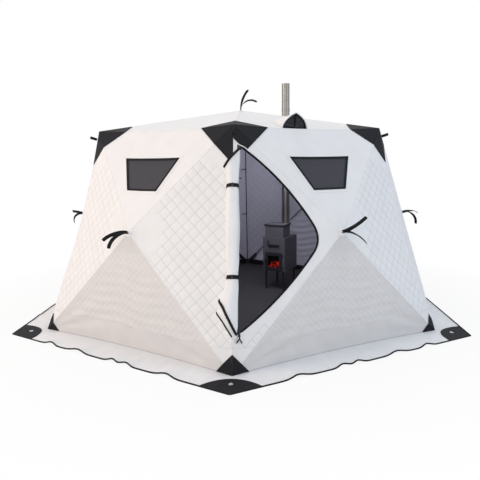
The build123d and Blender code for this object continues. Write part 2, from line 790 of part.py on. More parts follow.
MESH_SETBACK = VENT_SETBACK + VENT_MESH_INSET
MESH_SHARE = 1 - VENT_MESH_INSET * 2 / VENT_LENGTH
with BuildPart() as vent_mesh:
    extrude(vent_arch(MESH_SETBACK, VENT_INNER_WIDTH * MESH_SHARE, VENT_INNER_HEIGHT * MESH_SHARE),
            amount=-VENT_MESH)
save(vent_mesh, "vent_mesh")

# Floor mat inside the walls
MAT_CORNERS = []
for i, angle in enumerate(CORNER_ANGLES):
    foot = POINTS["base", i] + (POINTS["top", i] - POINTS["base", i]) * (MAT / CORNER_HEIGHT)
    inner = seat(foot, panels_at(("base", i)), heading(angle), FABRIC + MAT_GAP)
    MAT_CORNERS.append(Vector(inner.X, inner.Y, 0))
with BuildPart() as floor_mat:
    with BuildSketch():
        with BuildLine():
            Polyline(*MAT_CORNERS, close=True)
        make_face()
    extrude(amount=MAT)
save(floor_mat, "floor_mat")

# Stove: a hollow box on four legs, open at the front and at the flue
FRONT_DIR = -STOVE_PLANE.y_dir


def front_plane(rise, out):
    """Plane on the stove's front, a rise above its underside and a way out, x to the right."""
    origin = STOVE_PLANE.from_local_coords(Vector(0, -STOVE_DEPTH / 2 - out, LEG_HEIGHT + rise))
    return Plane(origin=origin, x_dir=STOVE_PLANE.x_dir, z_dir=FRONT_DIR)


DOOR_MIDDLE = FIRE_OPENING_RISE + FIRE_OPENING_HEIGHT / 2
HINGE_X = FIRE_DOOR_WIDTH / 2 + HINGE_STANDOFF
HINGE_OUT = FIRE_DOOR_GAP + FIRE_DOOR / 2
HINGE_RISES = [DOOR_MIDDLE + side * HINGE_SPREAD - HINGE_LENGTH / 2 for side in (-1, 1)]


def hinge_plane(rise):
    """Level plane on the hinge line, a rise above the stove's underside."""
    place = Vector(HINGE_X, -STOVE_DEPTH / 2 - HINGE_OUT, LEG_HEIGHT + rise)
    return Plane(origin=STOVE_PLANE.from_local_coords(place), x_dir=STOVE_PLANE.x_dir, z_dir=(0, 0, 1))


with BuildPart() as stove_body:
    with BuildSketch(STOVE_PLANE.offset(LEG_HEIGHT)):
        RectangleRounded(STOVE_WIDTH, STOVE_DEPTH, STOVE_ROUND)
    extrude(amount=STOVE_HEIGHT)
    with BuildSketch(STOVE_PLANE.offset(LEG_HEIGHT + STOVE_WALL)):
        RectangleRounded(STOVE_WIDTH - 2 * STOVE_WALL, STOVE_DEPTH - 2 * STOVE_WALL, STOVE_ROUND - STOVE_WALL)
    extrude(amount=STOVE_HEIGHT - 2 * STOVE_WALL, mode=Mode.SUBTRACT)
    with BuildSketch(front_plane(DOOR_MIDDLE, 0)):
        Rectangle(FIRE_OPENING_WIDTH, FIRE_OPENING_HEIGHT)
    extrude(amount=-2 * STOVE_WALL, mode=Mode.SUBTRACT)
    with BuildSketch(front_plane(SLIDE_RISE, 0)):
        Rectangle(SLIDE_LENGTH, SLIDE_HEIGHT)
    extrude(amount=SLIDE_DEPTH)
    with BuildSketch(STOVE_PLANE.offset(STOVE_TOP)):
        with Locations((FLUE_SHIFT, FLUE_BACK)):
            Circle(FLUE / 2 + FLUE_FIT + COLLAR)
    extrude(amount=COLLAR_HEIGHT)
    with BuildSketch(STOVE_PLANE.offset(STOVE_TOP)):
        with Locations((FLUE_SHIFT, FLUE_BACK)):
            Circle(FLUE / 2 + FLUE_FIT)
    extrude(amount=COLLAR_HEIGHT, mode=Mode.SUBTRACT)
    with BuildSketch(STOVE_PLANE.offset(STOVE_TOP)):
        with Locations((FLUE_SHIFT, FLUE_BACK)):
            Circle(FLUE / 2 - FLUE_WALL)
    extrude(amount=-2 * STOVE_WALL, mode=Mode.SUBTRACT)
    for rise in HINGE_RISES:
        with BuildSketch(hinge_plane(rise - HINGE_LIFT)):
            with Locations((0, HINGE_OUT / 2)):
                Rectangle(HINGE_BARREL, HINGE_OUT)
            Circle(HINGE_BARREL / 2)
        extrude(amount=-HINGE_BRACKET)
        with BuildSketch(hinge_plane(rise - HINGE_LIFT)):
            Circle(HINGE_PIN / 2)
        extrude(amount=HINGE_LENGTH)
save(stove_body, "stove_body")

LEG_GRID = (STOVE_WIDTH - 2 * LEG_INSET, STOVE_DEPTH - 2 * LEG_INSET)
with BuildPart() as stove_legs:
    with BuildSketch(STOVE_PLANE):
        with GridLocations(*LEG_GRID, 2, 2):
            small_round(FOOT_PAD)
    extrude(amount=FOOT_PAD_THICKNESS)
    with BuildSketch(STOVE_PLANE):
        with GridLocations(*LEG_GRID, 2, 2):
            small_round(LEG)
    extrude(amount=LEG_HEIGHT)
save(stove_legs, "stove_legs")

with BuildPart() as stove_top_box:
    with BuildSketch(STOVE_PLANE.offset(STOVE_TOP)):
        with Locations((0, TOP_BOX_SHIFT)):
            RectangleRounded(TOP_BOX_WIDTH, TOP_BOX_DEPTH, TOP_BOX_ROUND)
    extrude(amount=TOP_BOX_HEIGHT)
    with BuildSketch(STOVE_PLANE.offset(STOVE_TOP + TOP_BOX_HEIGHT)):
        with Locations((0, TOP_BOX_SHIFT)):
            RectangleRounded(TOP_BOX_WIDTH + 2 * TOP_LID_LAP, TOP_BOX_DEPTH + 2 * TOP_LID_LAP, TOP_BOX_ROUND)
    extrude(amount=TOP_LID)
save(stove_top_box, "stove_top_box")

with BuildPart() as stove_door:
    with BuildSketch(front_plane(DOOR_MIDDLE, FIRE_DOOR_GAP)):
        RectangleRounded(FIRE_DOOR_WIDTH, FIRE_DOOR_HEIGHT, FIRE_DOOR_ROUND)
        Rectangle(GLASS_WIDTH, GLASS_HEIGHT, mode=Mode.SUBTRACT)
    extrude(amount=FIRE_DOOR)
    with BuildSketch(front_plane(DOOR_MIDDLE, FIRE_DOOR_GAP + FIRE_DOOR)):
        with Locations((HANDLE_INSET - FIRE_DOOR_WIDTH / 2, 0)):
            small_round(HANDLE)
    extrude(amount=HANDLE_STANDOFF)
    with BuildSketch(front_plane(DOOR_MIDDLE, FIRE_DOOR_GAP + FIRE_DOOR + HANDLE_STANDOFF)):
        with Locations((HANDLE_INSET - FIRE_DOOR_WIDTH / 2, 0)):
            RectangleRounded(HANDLE, HANDLE_LENGTH, HANDLE / 3)
    extrude(amount=HANDLE)
    for rise in HINGE_RISES:
        with BuildSketch(hinge_plane(rise)):
            with Locations((-HINGE_STANDOFF, 0)):
                Rectangle(2 * HINGE_STANDOFF, HINGE_LEAF)
            Circle(HINGE_BARREL / 2)
        extrude(amount=HINGE_LENGTH)
        with BuildSketch(hinge_plane(rise)):
            Circle(HINGE_PIN / 2 + HINGE_FIT)
        extrude(amount=HINGE_LENGTH, mode=Mode.SUBTRACT)
save(stove_door, "stove_door")

with BuildPart() as stove_glass:
    with BuildSketch(front_plane(DOOR_MIDDLE, FIRE_DOOR_GAP)):
        Rectangle(GLASS_WIDTH + 2 * GLASS_LAP, GLASS_HEIGHT + 2 * GLASS_LAP)
    extrude(amount=-GLASS)
save(stove_glass, "stove_glass")

# Flue from the stove's collar out through a plate on the roof
with BuildPart() as flue_pipe:
    with BuildSketch(Plane(origin=FLUE_FOOT)):
        Circle(FLUE / 2)
    extrude(amount=FLUE_TOP - FLUE_FOOT.Z)
    for share in BAND_SHARES:
        with BuildSketch(Plane(origin=FLUE_FOOT).offset((FLUE_TOP - FLUE_FOOT.Z) * share)):
            Circle(FLUE / 2 + BAND)
        extrude(amount=BAND_HEIGHT)
    with BuildSketch(Plane(origin=FLUE_FOOT)):
        Circle(FLUE / 2 - FLUE_WALL)
    extrude(amount=FLUE_TOP - FLUE_FOOT.Z, mode=Mode.SUBTRACT)
save(flue_pipe, "flue_pipe")

JACK_PLANE = roof_plane(FLUE_ROOF)
FLUE_RAY = Axis(FLUE_FOOT, (0, 0, 1))
JACK_LOCAL = JACK_PLANE.to_local_coords(JACK_PLANE.intersect(FLUE_RAY))
with BuildPart() as flue_jack:
    with BuildSketch(JACK_PLANE):
        with Locations((JACK_LOCAL.X, JACK_LOCAL.Y)):
            RectangleRounded(JACK_WIDTH, JACK_WIDTH, JACK_ROUND)
    extrude(amount=JACK)
    with BuildSketch(Plane(origin=FLUE_FOOT)):
        Circle(FLUE / 2 + JACK_FIT)
    extrude(amount=FLUE_TOP, mode=Mode.SUBTRACT)
save(flue_jack, "flue_jack")
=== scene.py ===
# %% [markdown]
# # Ice fishing hut
# A six-sided pop-up shelter: quilted walls that hubs push outwards, a snow skirt, a rolled zip door
# and a tent stove inside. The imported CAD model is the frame. Cloth is modelled here over that frame,
# and the rigid CAD nodes (poles, hubs, stove, flue) stay and get their finishes.

# %% Load the frame
from math import acos, cos, exp, pi, radians, sin

import bpy
from mathutils import Matrix, Vector


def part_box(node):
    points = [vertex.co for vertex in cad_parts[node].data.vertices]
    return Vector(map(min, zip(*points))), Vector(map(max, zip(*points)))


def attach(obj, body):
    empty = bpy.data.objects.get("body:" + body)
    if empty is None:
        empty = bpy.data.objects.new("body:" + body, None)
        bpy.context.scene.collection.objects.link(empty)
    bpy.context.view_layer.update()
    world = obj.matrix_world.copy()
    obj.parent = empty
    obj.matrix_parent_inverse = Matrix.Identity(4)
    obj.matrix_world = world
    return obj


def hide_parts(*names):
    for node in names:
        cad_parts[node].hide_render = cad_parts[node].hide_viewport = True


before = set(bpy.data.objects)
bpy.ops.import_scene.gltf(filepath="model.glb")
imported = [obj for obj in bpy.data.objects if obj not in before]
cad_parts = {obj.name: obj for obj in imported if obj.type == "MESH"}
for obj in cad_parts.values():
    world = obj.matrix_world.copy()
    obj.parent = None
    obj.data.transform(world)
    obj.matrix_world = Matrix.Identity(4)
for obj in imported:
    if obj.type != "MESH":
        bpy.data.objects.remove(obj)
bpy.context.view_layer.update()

# %% [markdown]
# The shell is a set of points (corners at the base, corners at the top, one hub in each wall and
# the roof hub) and triangles between them. The same few sizes as in the CAD model give all of them,
# so every cloth piece lands on its solid with no fitting.

# %% Shell points and panels
SIDES = 6
WALL_NAMES = ("front_right", "right", "back_right", "back_left", "left", "front_left")
BASE_RADIUS = 2.080
TOP_RADIUS = 1.525
CORNER_HEIGHT = 1.850
ROOF_HEIGHT = 2.100
HUB_TUCK = 0.046
HUB_REACH = BASE_RADIUS * cos(pi / SIDES) - HUB_TUCK
HUB_HEIGHT = 0.985
SKIRT_WIDTH = 0.265
SKIRT_RADIUS = BASE_RADIUS + SKIRT_WIDTH / cos(pi / SIDES)
UP = Vector((0, 0, 1))


def at(radius, angle, height):
    """Point at a radius from the axis, an angle in degrees and a height."""
    return Vector((radius * cos(radians(angle)), radius * sin(radians(angle)), height))


def after(i):
    """The next corner or wall round the hut."""
    return (i + 1) % SIDES


CORNER_ANGLES = [-90 + 360 * i / SIDES for i in range(SIDES)]
WALL_ANGLES = [angle + 180 / SIDES for angle in CORNER_ANGLES]
POINTS = {("roof", 0): UP * ROOF_HEIGHT}
PANELS = {}
for i in range(SIDES):
    j = after(i)
    POINTS["base", i] = at(BASE_RADIUS, CORNER_ANGLES[i], 0)
    POINTS["top", i] = at(TOP_RADIUS, CORNER_ANGLES[i], CORNER_HEIGHT)
    POINTS["hub", i] = at(HUB_REACH, WALL_ANGLES[i], HUB_HEIGHT)
    PANELS["upper", i] = (("top", i), ("hub", i), ("top", j))
    PANELS["lower", i] = (("base", i), ("base", j), ("hub", i))
    PANELS["left_side", i] = (("base", i), ("hub", i), ("top", i))
    PANELS["right_side", i] = (("base", j), ("top", j), ("hub", i))
    PANELS["roof", i] = (("top", i), ("top", j), ("roof", 0))


def corners(panel):
    """The three corner points of a panel, anticlockwise from outside."""
    return [POINTS[label] for label in PANELS[panel]]


def normal(panel):
    """Outward normal of a panel."""
    a, b, c = corners(panel)
    return (b - a).cross(c - a).normalized()


def level(way):
    """A direction laid flat, one metre long."""
    return Vector((way.x, way.y, 0)).normalized()


print(len(PANELS), "panels between", len(POINTS), "points")

# %% [markdown]
# Colours are written as the sRGB hex values that a colour picker shows. Shaders work in linear
# light, so one function converts them. A second function adds a node with its settings and links, so
# a material reads as the list of its nodes, in the order in which one would lay them out.

# %% Colour and node helpers
# Places of the colour sockets on a Mix node
COLOUR_A, COLOUR_B, COLOUR_OUT = 6, 7, 2


def linear(code):
    """Linear RGBA of an sRGB hex colour."""
    values = [int(code[k:k + 2], 16) / 255 for k in (1, 3, 5)]
    return [v / 12.92 if v <= 0.04045 else ((v + 0.055) / 1.055) ** 2.4 for v in values] + [1.0]


def add_node(tree, kind, settings=None, inputs=None):
    """Add a node, set its properties, then link its inputs or set them. A text input is a hex colour."""
    made = tree.nodes.new(kind)
    for key, value in (settings or {}).items():
        setattr(made, key, value)
    for key, value in (inputs or {}).items():
        if isinstance(value, bpy.types.NodeSocket):
            tree.links.new(value, made.inputs[key])
        else:
            made.inputs[key].default_value = linear(value) if isinstance(value, str) else value
    return made


def start_material(name):
    """An empty node material, its tree and the object coordinates in it."""
    material = bpy.data.materials.new(name)
    material.use_nodes = True
    tree = material.node_tree
    tree.nodes.clear()
    return material, tree, add_node(tree, "ShaderNodeTexCoord").outputs["Object"]


print("mid grey in linear light", round(linear("#808080")[0], 3))

# %% [markdown]
# **Cloth.** The shell is coated polyester: a plain weave with a slight sheen and a milky coating.
# On the quilted panels a stitched line runs round every cell. On the shell it is darker, which is
# painted shade for the valley it lies in; on the lower panels it is paler, the colour of the thread.
# The mesh carries that line as an attribute called quilt, which is 1 on a seam and 0 in the middle of
# a cell, so the pattern follows the cloth wherever it is pulled.

# %% Cloth materials
WEAVE_MM = 3.0
CREASE_MM = 160.0
# From where on the quilt attribute counts as the stitched line, and how strong the line's tint is
# (painted valley shade on the shell, pale thread on the lower panels)
STITCH_FROM, STITCH_AND_SHADE_STRENGTH = 0.87, 0.8


def coated_cloth(name, dark, light, seam, rough, shine=0.35, sheen=0.12):
    """Coated polyester: soft blotches, a fine weave, faint creases and stitch lines, whose darker tint is
    painted valley shade.
    """
    material, tree, place = start_material(name)
    blotch = add_node(tree, "ShaderNodeTexNoise", inputs={
        "Vector": place, "Scale": 1000 / CREASE_MM, "Detail": 4.0, "Roughness": 0.55})
    weave = add_node(tree, "ShaderNodeTexNoise", inputs={
        "Vector": place, "Scale": 1000 / WEAVE_MM, "Detail": 2.0})
    colour = add_node(tree, "ShaderNodeMix", {"data_type": "RGBA"}, {
        "Factor": blotch.outputs["Fac"], COLOUR_A: dark, COLOUR_B: light})
    quilt = add_node(tree, "ShaderNodeAttribute", {"attribute_name": "quilt"})
    line = add_node(tree, "ShaderNodeMapRange", {"interpolation_type": "SMOOTHSTEP"}, {
        "Value": quilt.outputs["Fac"], "From Min": STITCH_FROM, "From Max": 1.0,
        "To Min": 0.0, "To Max": STITCH_AND_SHADE_STRENGTH})
    # The seam colour tints the stitch lines: where it is darker than the cloth, it is painted shade of the
    # valleys
    stitched = add_node(tree, "ShaderNodeMix", {"data_type": "RGBA"}, {
        "Factor": line.outputs["Result"], COLOUR_A: colour.outputs[COLOUR_OUT], COLOUR_B: seam})
    creases = add_node(tree, "ShaderNodeBump", inputs={
        "Height": blotch.outputs["Fac"], "Strength": 0.25, "Distance": 0.012})
    threads = add_node(tree, "ShaderNodeBump", inputs={
        "Height": weave.outputs["Fac"], "Strength": 0.25, "Distance": 0.0006,
        "Normal": creases.outputs["Normal"]})
    shader = add_node(tree, "ShaderNodeBsdfPrincipled", inputs={
        "Base Color": stitched.outputs[COLOUR_OUT], "Roughness": rough, "Specular IOR Level": shine,
        "Sheen Weight": sheen, "Normal": threads.outputs["Normal"]})
    add_node(tree, "ShaderNodeOutputMaterial", inputs={"Surface": shader.outputs["BSDF"]})
    return material


# White coated polyester on the shell: bright, with a slight gloss; its darker seam colour is painted valley
# shade
SHELL_CLOTH = coated_cloth("coated_polyester_white", "#E2E2E2", "#EEEEEE", "#CACACC", 0.55)
# The lower panels are a quilted cloth with a dull sheen and pale stitching; its darker tone is painted shade
# of the lower wall
LOWER_CLOTH = coated_cloth("quilted_polyester_painted_shade", "#CFCDCC", "#DCDAD9", "#E6E4E3", 0.6)
# A cooler white on the skirt
SKIRT_CLOTH = coated_cloth("coated_polyester_skirt", "#E4E6E8", "#F0F1F3", "#C9CCD0", 0.5)
# Grey lining inside, woven and matt, its stitching hardly visible
LINING = coated_cloth("polyester_lining_grey", "#A6A5B0", "#B2B1BB", "#A3A2AD", 0.8, 0.2, 0.0)
# Charcoal reinforcement: a heavier weave, almost matt
DARK_CLOTH = coated_cloth("reinforced_polyester_charcoal", "#15161A", "#1F2025", "#101114", 0.7, 0.18, 0.0)
print(len(bpy.data.materials), "materials with the cloths")

# %% [markdown]
# **Webbing and mesh.** Straps, ties and tabs are ribbed nylon webbing. The window is a dark insect
# mesh that lets a little light through. Their patterns are drawn a little coarser than the real ones
# so that they still show at the size of the picture.

# %% Small soft materials
RIB_MM = 4.0
MESH_MM = 7.0
# Full turn in radians. The wave node also has a factor of its own, so the ribs come out at about
# twice their real width, which lets them show.
WAVE_TURN = 6.283


def ribbed_webbing(name, dark, light):
    """Nylon webbing: narrow ribs across a near-black ribbon with a soft sheen."""
    material, tree, place = start_material(name)
    ribs = add_node(tree, "ShaderNodeTexWave", {"bands_direction": "DIAGONAL"}, {
        "Vector": place, "Scale": 1000 / (RIB_MM * WAVE_TURN), "Distortion": 0.6, "Detail": 1.0})
    colour = add_node(tree, "ShaderNodeMix", {"data_type": "RGBA"}, {
        "Factor": ribs.outputs["Fac"], COLOUR_A: dark, COLOUR_B: light})
    relief = add_node(tree, "ShaderNodeBump", inputs={
        "Height": ribs.outputs["Fac"], "Strength": 0.5, "Distance": 0.0008})
    shader = add_node(tree, "ShaderNodeBsdfPrincipled", inputs={
        "Base Color": colour.outputs[COLOUR_OUT], "Roughness": 0.7, "Specular IOR Level": 0.2,
        "Normal": relief.outputs["Normal"]})
    add_node(tree, "ShaderNodeOutputMaterial", inputs={"Surface": shader.outputs["BSDF"]})
    return material


def insect_mesh(name, dark, light, openness):
    """Insect mesh: a dark thread grid, part of the light passing between the threads."""
    material, tree, place = start_material(name)
    threads = add_node(tree, "ShaderNodeTexVoronoi", {"distance": "CHEBYCHEV"}, {
        "Vector": place, "Scale": 1000 / MESH_MM, "Randomness": 0.0})
    colour = add_node(tree, "ShaderNodeMix", {"data_type": "RGBA"}, {
        "Factor": threads.outputs["Distance"], COLOUR_A: dark, COLOUR_B: light})
    shader = add_node(tree, "ShaderNodeBsdfPrincipled", inputs={
        "Base Color": colour.outputs[COLOUR_OUT], "Roughness": 0.6, "Specular IOR Level": 0.25,
        "Alpha": 1.0 - openness})
    add_node(tree, "ShaderNodeOutputMaterial", inputs={"Surface": shader.outputs["BSDF"]})
    return material


WEBBING = ribbed_webbing("nylon_webbing_black", "#08090B", "#16171B")
WINDOW_MESH = insect_mesh("polyester_mesh_grey", "#3A3A40", "#4A4950", 0.10)
VENT_MESH = insect_mesh("polyester_mesh_black", "#1B1C20", "#303136", 0.5)
print(len(bpy.data.materials), "materials with webbing and mesh")

# %% [markdown]
# **Hard materials.** Moulded nylon for hubs and joints, pultruded fibreglass for poles, painted and
# bare sheet steel for the stove, ceramic glass for its door and ribbed rubber for the mat. All but
# the glass share one recipe, an uneven grain that varies colour, gloss and relief together, because no
# real surface is quite even.

# %% Hard materials
# How far the roughness swings to either side, and the part of the noise that swings it
UNEVEN = 0.08
GRAIN_RANGE = (0.3, 0.7)
SOOT_MM = 60


def mottled(name, dark, light, grain_mm, rough, metallic=0.0, relief=0.0003, stretch=(1, 1, 1)):
    """A hard surface with a fine uneven tone and a matching bump."""
    material, tree, place = start_material(name)
    run = add_node(tree, "ShaderNodeMapping", inputs={"Vector": place, "Scale": stretch})
    grain = add_node(tree, "ShaderNodeTexNoise", inputs={
        "Vector": run.outputs["Vector"], "Scale": 1000 / grain_mm, "Detail": 5.0, "Roughness": 0.6})
    colour = add_node(tree, "ShaderNodeMix", {"data_type": "RGBA"}, {
        "Factor": grain.outputs["Fac"], COLOUR_A: dark, COLOUR_B: light})
    gloss = add_node(tree, "ShaderNodeMapRange", inputs={
        "Value": grain.outputs["Fac"], "From Min": GRAIN_RANGE[0], "From Max": GRAIN_RANGE[1],
        "To Min": rough - UNEVEN, "To Max": rough + UNEVEN})
    bumps = add_node(tree, "ShaderNodeBump", inputs={
        "Height": grain.outputs["Fac"], "Strength": 0.4, "Distance": relief})
    shader = add_node(tree, "ShaderNodeBsdfPrincipled", inputs={
        "Base Color": colour.outputs[COLOUR_OUT], "Metallic": metallic,
        "Roughness": gloss.outputs["Result"], "Normal": bumps.outputs["Normal"]})
    add_node(tree, "ShaderNodeOutputMaterial", inputs={"Surface": shader.outputs["BSDF"]})
    return material


# Moulded nylon: fine-grained and half matt
HUB_NYLON = mottled("moulded_nylon_black", "#141416", "#1F2023", 2.0, 0.45)
# Pultruded rods: smooth, with a soft gloss
FIBREGLASS = mottled("pultruded_fibreglass_black", "#101114", "#1C1D21", 3.0, 0.35)
# Painted sheet steel: an even grey with a low gloss
STOVE_PAINT = mottled("painted_steel_grey", "#4A494E", "#57565C", 30.0, 0.5, 0.1)
# Heatproof paint: black and dull
STOVE_BLACK = mottled("heatproof_paint_black", "#18181A", "#242427", 12.0, 0.6)
# Bare steel tube: bright, its streaks drawn out along the pipe
FLUE_STEEL = mottled("bare_steel_flue", "#66645F", "#9C9994", 9.0, 0.38, 1.0, 0.0002, (1, 1, 0.06))
# Nickel plating: pale and shiny
EYELET_BRASS = mottled("nickel_plated_brass", "#B4B5B4", "#D2D3D2", 2.0, 0.3, 1.0)
# Rubber: dark and dull, with dusty patches
MAT_RUBBER = mottled("ribbed_rubber_mat", "#2A2929", "#393737", 25.0, 0.7)
# Smoked ceramic glass: mostly dark, sooty in patches, so that the fire behind it shows through
STOVE_GLASS, tree, place = start_material("ceramic_glass_smoked")
soot = add_node(tree, "ShaderNodeTexNoise", inputs={"Vector": place, "Scale": 1000 / SOOT_MM, "Detail": 3.0})
cover = add_node(tree, "ShaderNodeMapRange", inputs={
    "Value": soot.outputs["Fac"], "From Min": GRAIN_RANGE[0], "From Max": GRAIN_RANGE[1],
    "To Min": 0.3, "To Max": 0.65})
pane = add_node(tree, "ShaderNodeBsdfPrincipled", inputs={
    "Base Color": "#120E0E", "Roughness": 0.1, "Alpha": cover.outputs["Result"]})
add_node(tree, "ShaderNodeOutputMaterial", inputs={"Surface": pane.outputs["BSDF"]})
print(len(bpy.data.materials), "materials with the hard ones")

# %% [markdown]
# The CAD nodes that stay as they are take their finish here. A node's mesh is never changed, only
# its material slot.

# %% Finishes of the CAD nodes
NODE_FINISHES = {
    EYELET_BRASS: ("eyelets",),
    HUB_NYLON: ("wall_hubs", "roof_hub", "top_joints", "base_joints"),
    FIBREGLASS: ("wall_poles", "roof_poles"),
    STOVE_PAINT: ("stove_body", "stove_top_box"),
    STOVE_BLACK: ("stove_legs", "stove_door"),
    STOVE_GLASS: ("stove_glass",),
    FLUE_STEEL: ("flue_pipe", "flue_jack"),
}


def wear(piece, *materials):
    """Put materials in a piece's slots, which Solidify needs there before it offsets them."""
    piece.data.materials.clear()
    for material in materials:
        piece.data.materials.append(material)


for material, names in NODE_FINISHES.items():
    for name in names:
        wear(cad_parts[name], material)
print(sum(len(names) for names in NODE_FINISHES.values()), "CAD nodes finished")

# %% [markdown]
# **How a panel of cloth is cut.** By hand one would add a grid, turn it into the panel's plane and
# bisect it along the seams. The same operators do it here. The grid's lines become the quilting, so
# the grid is turned to run along the ridge from the hub to the top corner, as the stitching does.

# %% Cutting cloth to a panel


def deselect():
    """Leave edit mode with nothing selected."""
    if bpy.context.object and bpy.context.object.mode != "OBJECT":
        bpy.ops.object.mode_set(mode="OBJECT")
    bpy.ops.object.select_all(action="DESELECT")


def pick(piece):
    """Make one piece the only selected and active one."""
    deselect()
    piece.select_set(True)
    bpy.context.view_layer.objects.active = piece


def edit_all(piece, *steps):
    """Run edit mode operators, each with its settings, on the whole of a piece."""
    pick(piece)
    bpy.ops.object.mode_set(mode="EDIT")
    bpy.ops.mesh.select_all(action="SELECT")
    for operator, settings in steps:
        operator(**settings)
    bpy.ops.object.mode_set(mode="OBJECT")


def edit_faces(piece, chosen, operator, **settings):
    """Run one edit mode operator on the faces whose middle passes a test."""
    pick(piece)
    bpy.ops.object.mode_set(mode="EDIT")
    bpy.ops.mesh.select_mode(type="FACE")
    bpy.ops.mesh.select_all(action="DESELECT")
    bpy.ops.object.mode_set(mode="OBJECT")
    for face in piece.data.polygons:
        face.select = chosen(face.center)
    bpy.ops.object.mode_set(mode="EDIT")
    operator(**settings)
    bpy.ops.object.mode_set(mode="OBJECT")


def trim(piece, point, keep, clear=True):
    """Cut a piece by a plane and, where it is to be cleared, drop what lies behind the plane."""
    edit_all(piece, (bpy.ops.mesh.bisect, {
        "plane_co": point, "plane_no": keep.normalized(), "clear_inner": clear}))


def cut_cloth(panel, start, along, cell):
    """A grid of cells in a panel's plane, from a start point along a direction, cut along the seams."""
    out = normal(panel)
    x_way = (along - out * along.dot(out)).normalized()
    turn = Matrix((x_way, out.cross(x_way), out)).transposed().to_4x4()
    reach = max((point - start).length for point in corners(panel))
    count = 2 * int(reach / cell + 1)
    deselect()
    bpy.ops.mesh.primitive_grid_add(x_subdivisions=count, y_subdivisions=count, size=count * cell)
    cloth = bpy.context.object
    cloth.data.transform(Matrix.Translation(start) @ turn)
    a, b, c = corners(panel)
    for first, second in ((a, b), (b, c), (c, a)):
        trim(cloth, first, out.cross(second - first))
    return cloth


print("grid of a side panel runs along", [
    round(v, 3) for v in (POINTS["top", 0] - POINTS["hub", 0]).normalized()])

# %% [markdown]
# **Quilting.** Poking a face raises a low point in its middle, and one level of subdivision turns
# that pyramid into a soft pad between its stitch lines. The stitch lines are creased so that they
# stay crisp. The padding thins out near a hub and round the doorway, where the cloth is pulled flat.

# %% Quilting
PUFF_SHARE = 0.21
STITCH_CREASE = 0.9


def quilt_cells(cloth, panel, padding):
    """Puff every cell by how padded its place is, from 0 to 1, and mark the stitch lines."""
    mesh = cloth.data
    stitched = len(mesh.vertices)
    edit_all(cloth, (bpy.ops.mesh.poke, {"offset": PUFF_SHARE, "use_relative_offset": True}))
    out, plane = normal(panel), corners(panel)[0]
    marks = mesh.attributes.new("quilt", "FLOAT", "POINT")
    for vertex, mark in zip(mesh.vertices, marks.data):
        full = padding(vertex.co)
        if vertex.index < stitched:
            mark.value = full
        else:
            vertex.co -= out * ((vertex.co - plane).dot(out) * (1 - full))
    creases = mesh.attributes.new("crease_edge", "FLOAT", "EDGE")
    for edge, mark in zip(mesh.edges, creases.data):
        mark.value = STITCH_CREASE if max(edge.vertices) < stitched else 0.0


def finish_with(piece, kind, **settings):
    """Add a modifier with its settings and apply it."""
    pick(piece)
    modifier = piece.modifiers.new(kind.lower(), kind)
    for key, value in settings.items():
        setattr(modifier, key, value)
    bpy.ops.object.modifier_apply(modifier=modifier.name)


def soften(piece):
    """Subdivide a piece once, its outline kept."""
    finish_with(piece, "SUBSURF", levels=1, render_levels=1, boundary_smooth="PRESERVE_CORNERS")


print("the middle of a cell rises by", PUFF_SHARE, "of its size")

# %% [markdown]
# **Pull of the cloth.** Poles run along the ridges from the hubs to the corners. Between two corners
# nothing holds the cloth, so its free edges are pulled in. For a point inside a panel the product of
# its shares of two corners is greatest midway between them and zero on the other edges, which is just
# how far that point moves.

# %% Settling cloth on the frame
EDGE_PULL = 0.050
BASE_PULL = 0.045
EAVES_PULL = 0.022


def pull_between(first, second):
    """How far the free edge between two corners moves at its middle. The front corner stays straight."""
    kinds = {first[0], second[0]}
    if kinds == {"base", "top"} and first[1] != 0:
        return at(-EDGE_PULL, CORNER_ANGLES[first[1]], 0)
    if kinds == {"base"}:
        return level(POINTS[first] + POINTS[second]) * -BASE_PULL
    if kinds == {"top"}:
        return level(POINTS[first] + POINTS[second]) * -EAVES_PULL - UP * EAVES_PULL
    return Vector((0, 0, 0))


def shares(panel, point):
    """Shares of a panel's three corners at a point on it."""
    a, b, c = corners(panel)
    whole = (b - a).cross(c - a)
    size = whole.dot(whole)
    second = (point - a).cross(c - a).dot(whole) / size
    third = (b - a).cross(point - a).dot(whole) / size
    return 1 - second - third, second, third


def settled(panel, point):
    """Where a point of a flat panel ends up once the cloth is pulled tight."""
    labels = PANELS[panel]
    parts = shares(panel, point)
    moved = Vector(point)
    for first, second in ((0, 1), (1, 2), (2, 0)):
        moved += pull_between(labels[first], labels[second]) * (4 * parts[first] * parts[second])
    return moved


def settle(cloth, panel, lift=0.0):
    """Move all of a cut panel to where the pulled cloth is, a lift out of its plane."""
    raised = normal(panel) * lift
    for vertex in cloth.data.vertices:
        vertex.co = settled(panel, vertex.co) + raised


print("eaves move by", round(pull_between(("top", 1), ("top", 2)).length, 3), "m at their middle")

# %% [markdown]
# ** Finishing a piece.** Parts are joined into one named object, which gets its material and the body
# that it rides on. A sheet is measured while it is still a single layer, then Solidify gives it its
# thickness, and the CAD nodes that it stands for are hidden.


def join(name, pieces):
    """Join pieces into one named object."""
    pick(pieces[0])
    for piece in pieces:
        piece.select_set(True)
    if len(pieces) > 1:
        bpy.ops.object.join()
    joined = bpy.context.object
    joined.name = name
    joined.data.name = name
    return joined


def dress(piece, materials, smooth=40):
    """Give a finished piece its materials, unless it wears some, and its body."""
    if materials:
        wear(piece, *materials)
    pick(piece)
    bpy.ops.object.shade_smooth_by_angle(angle=radians(smooth))
    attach(piece, "hut")
    print(piece.name, len(piece.data.polygons), "faces")


def flat_area(piece):
    """Area of a piece's faces in square metres."""
    return sum(face.area for face in piece.data.polygons)


def sew_sheet(piece, thickness, offset, materials, nodes):
    """Thicken and dress a sheet that stands for CAD nodes. One that wears materials already is lined."""
    area = flat_area(piece)
    finish_with(piece, "SOLIDIFY", thickness=thickness, offset=offset, material_offset=0 if materials else 1)
    dress(piece, materials)
    if nodes:
        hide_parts(*nodes)
    print(piece.name, round(area, 3), "square metres")


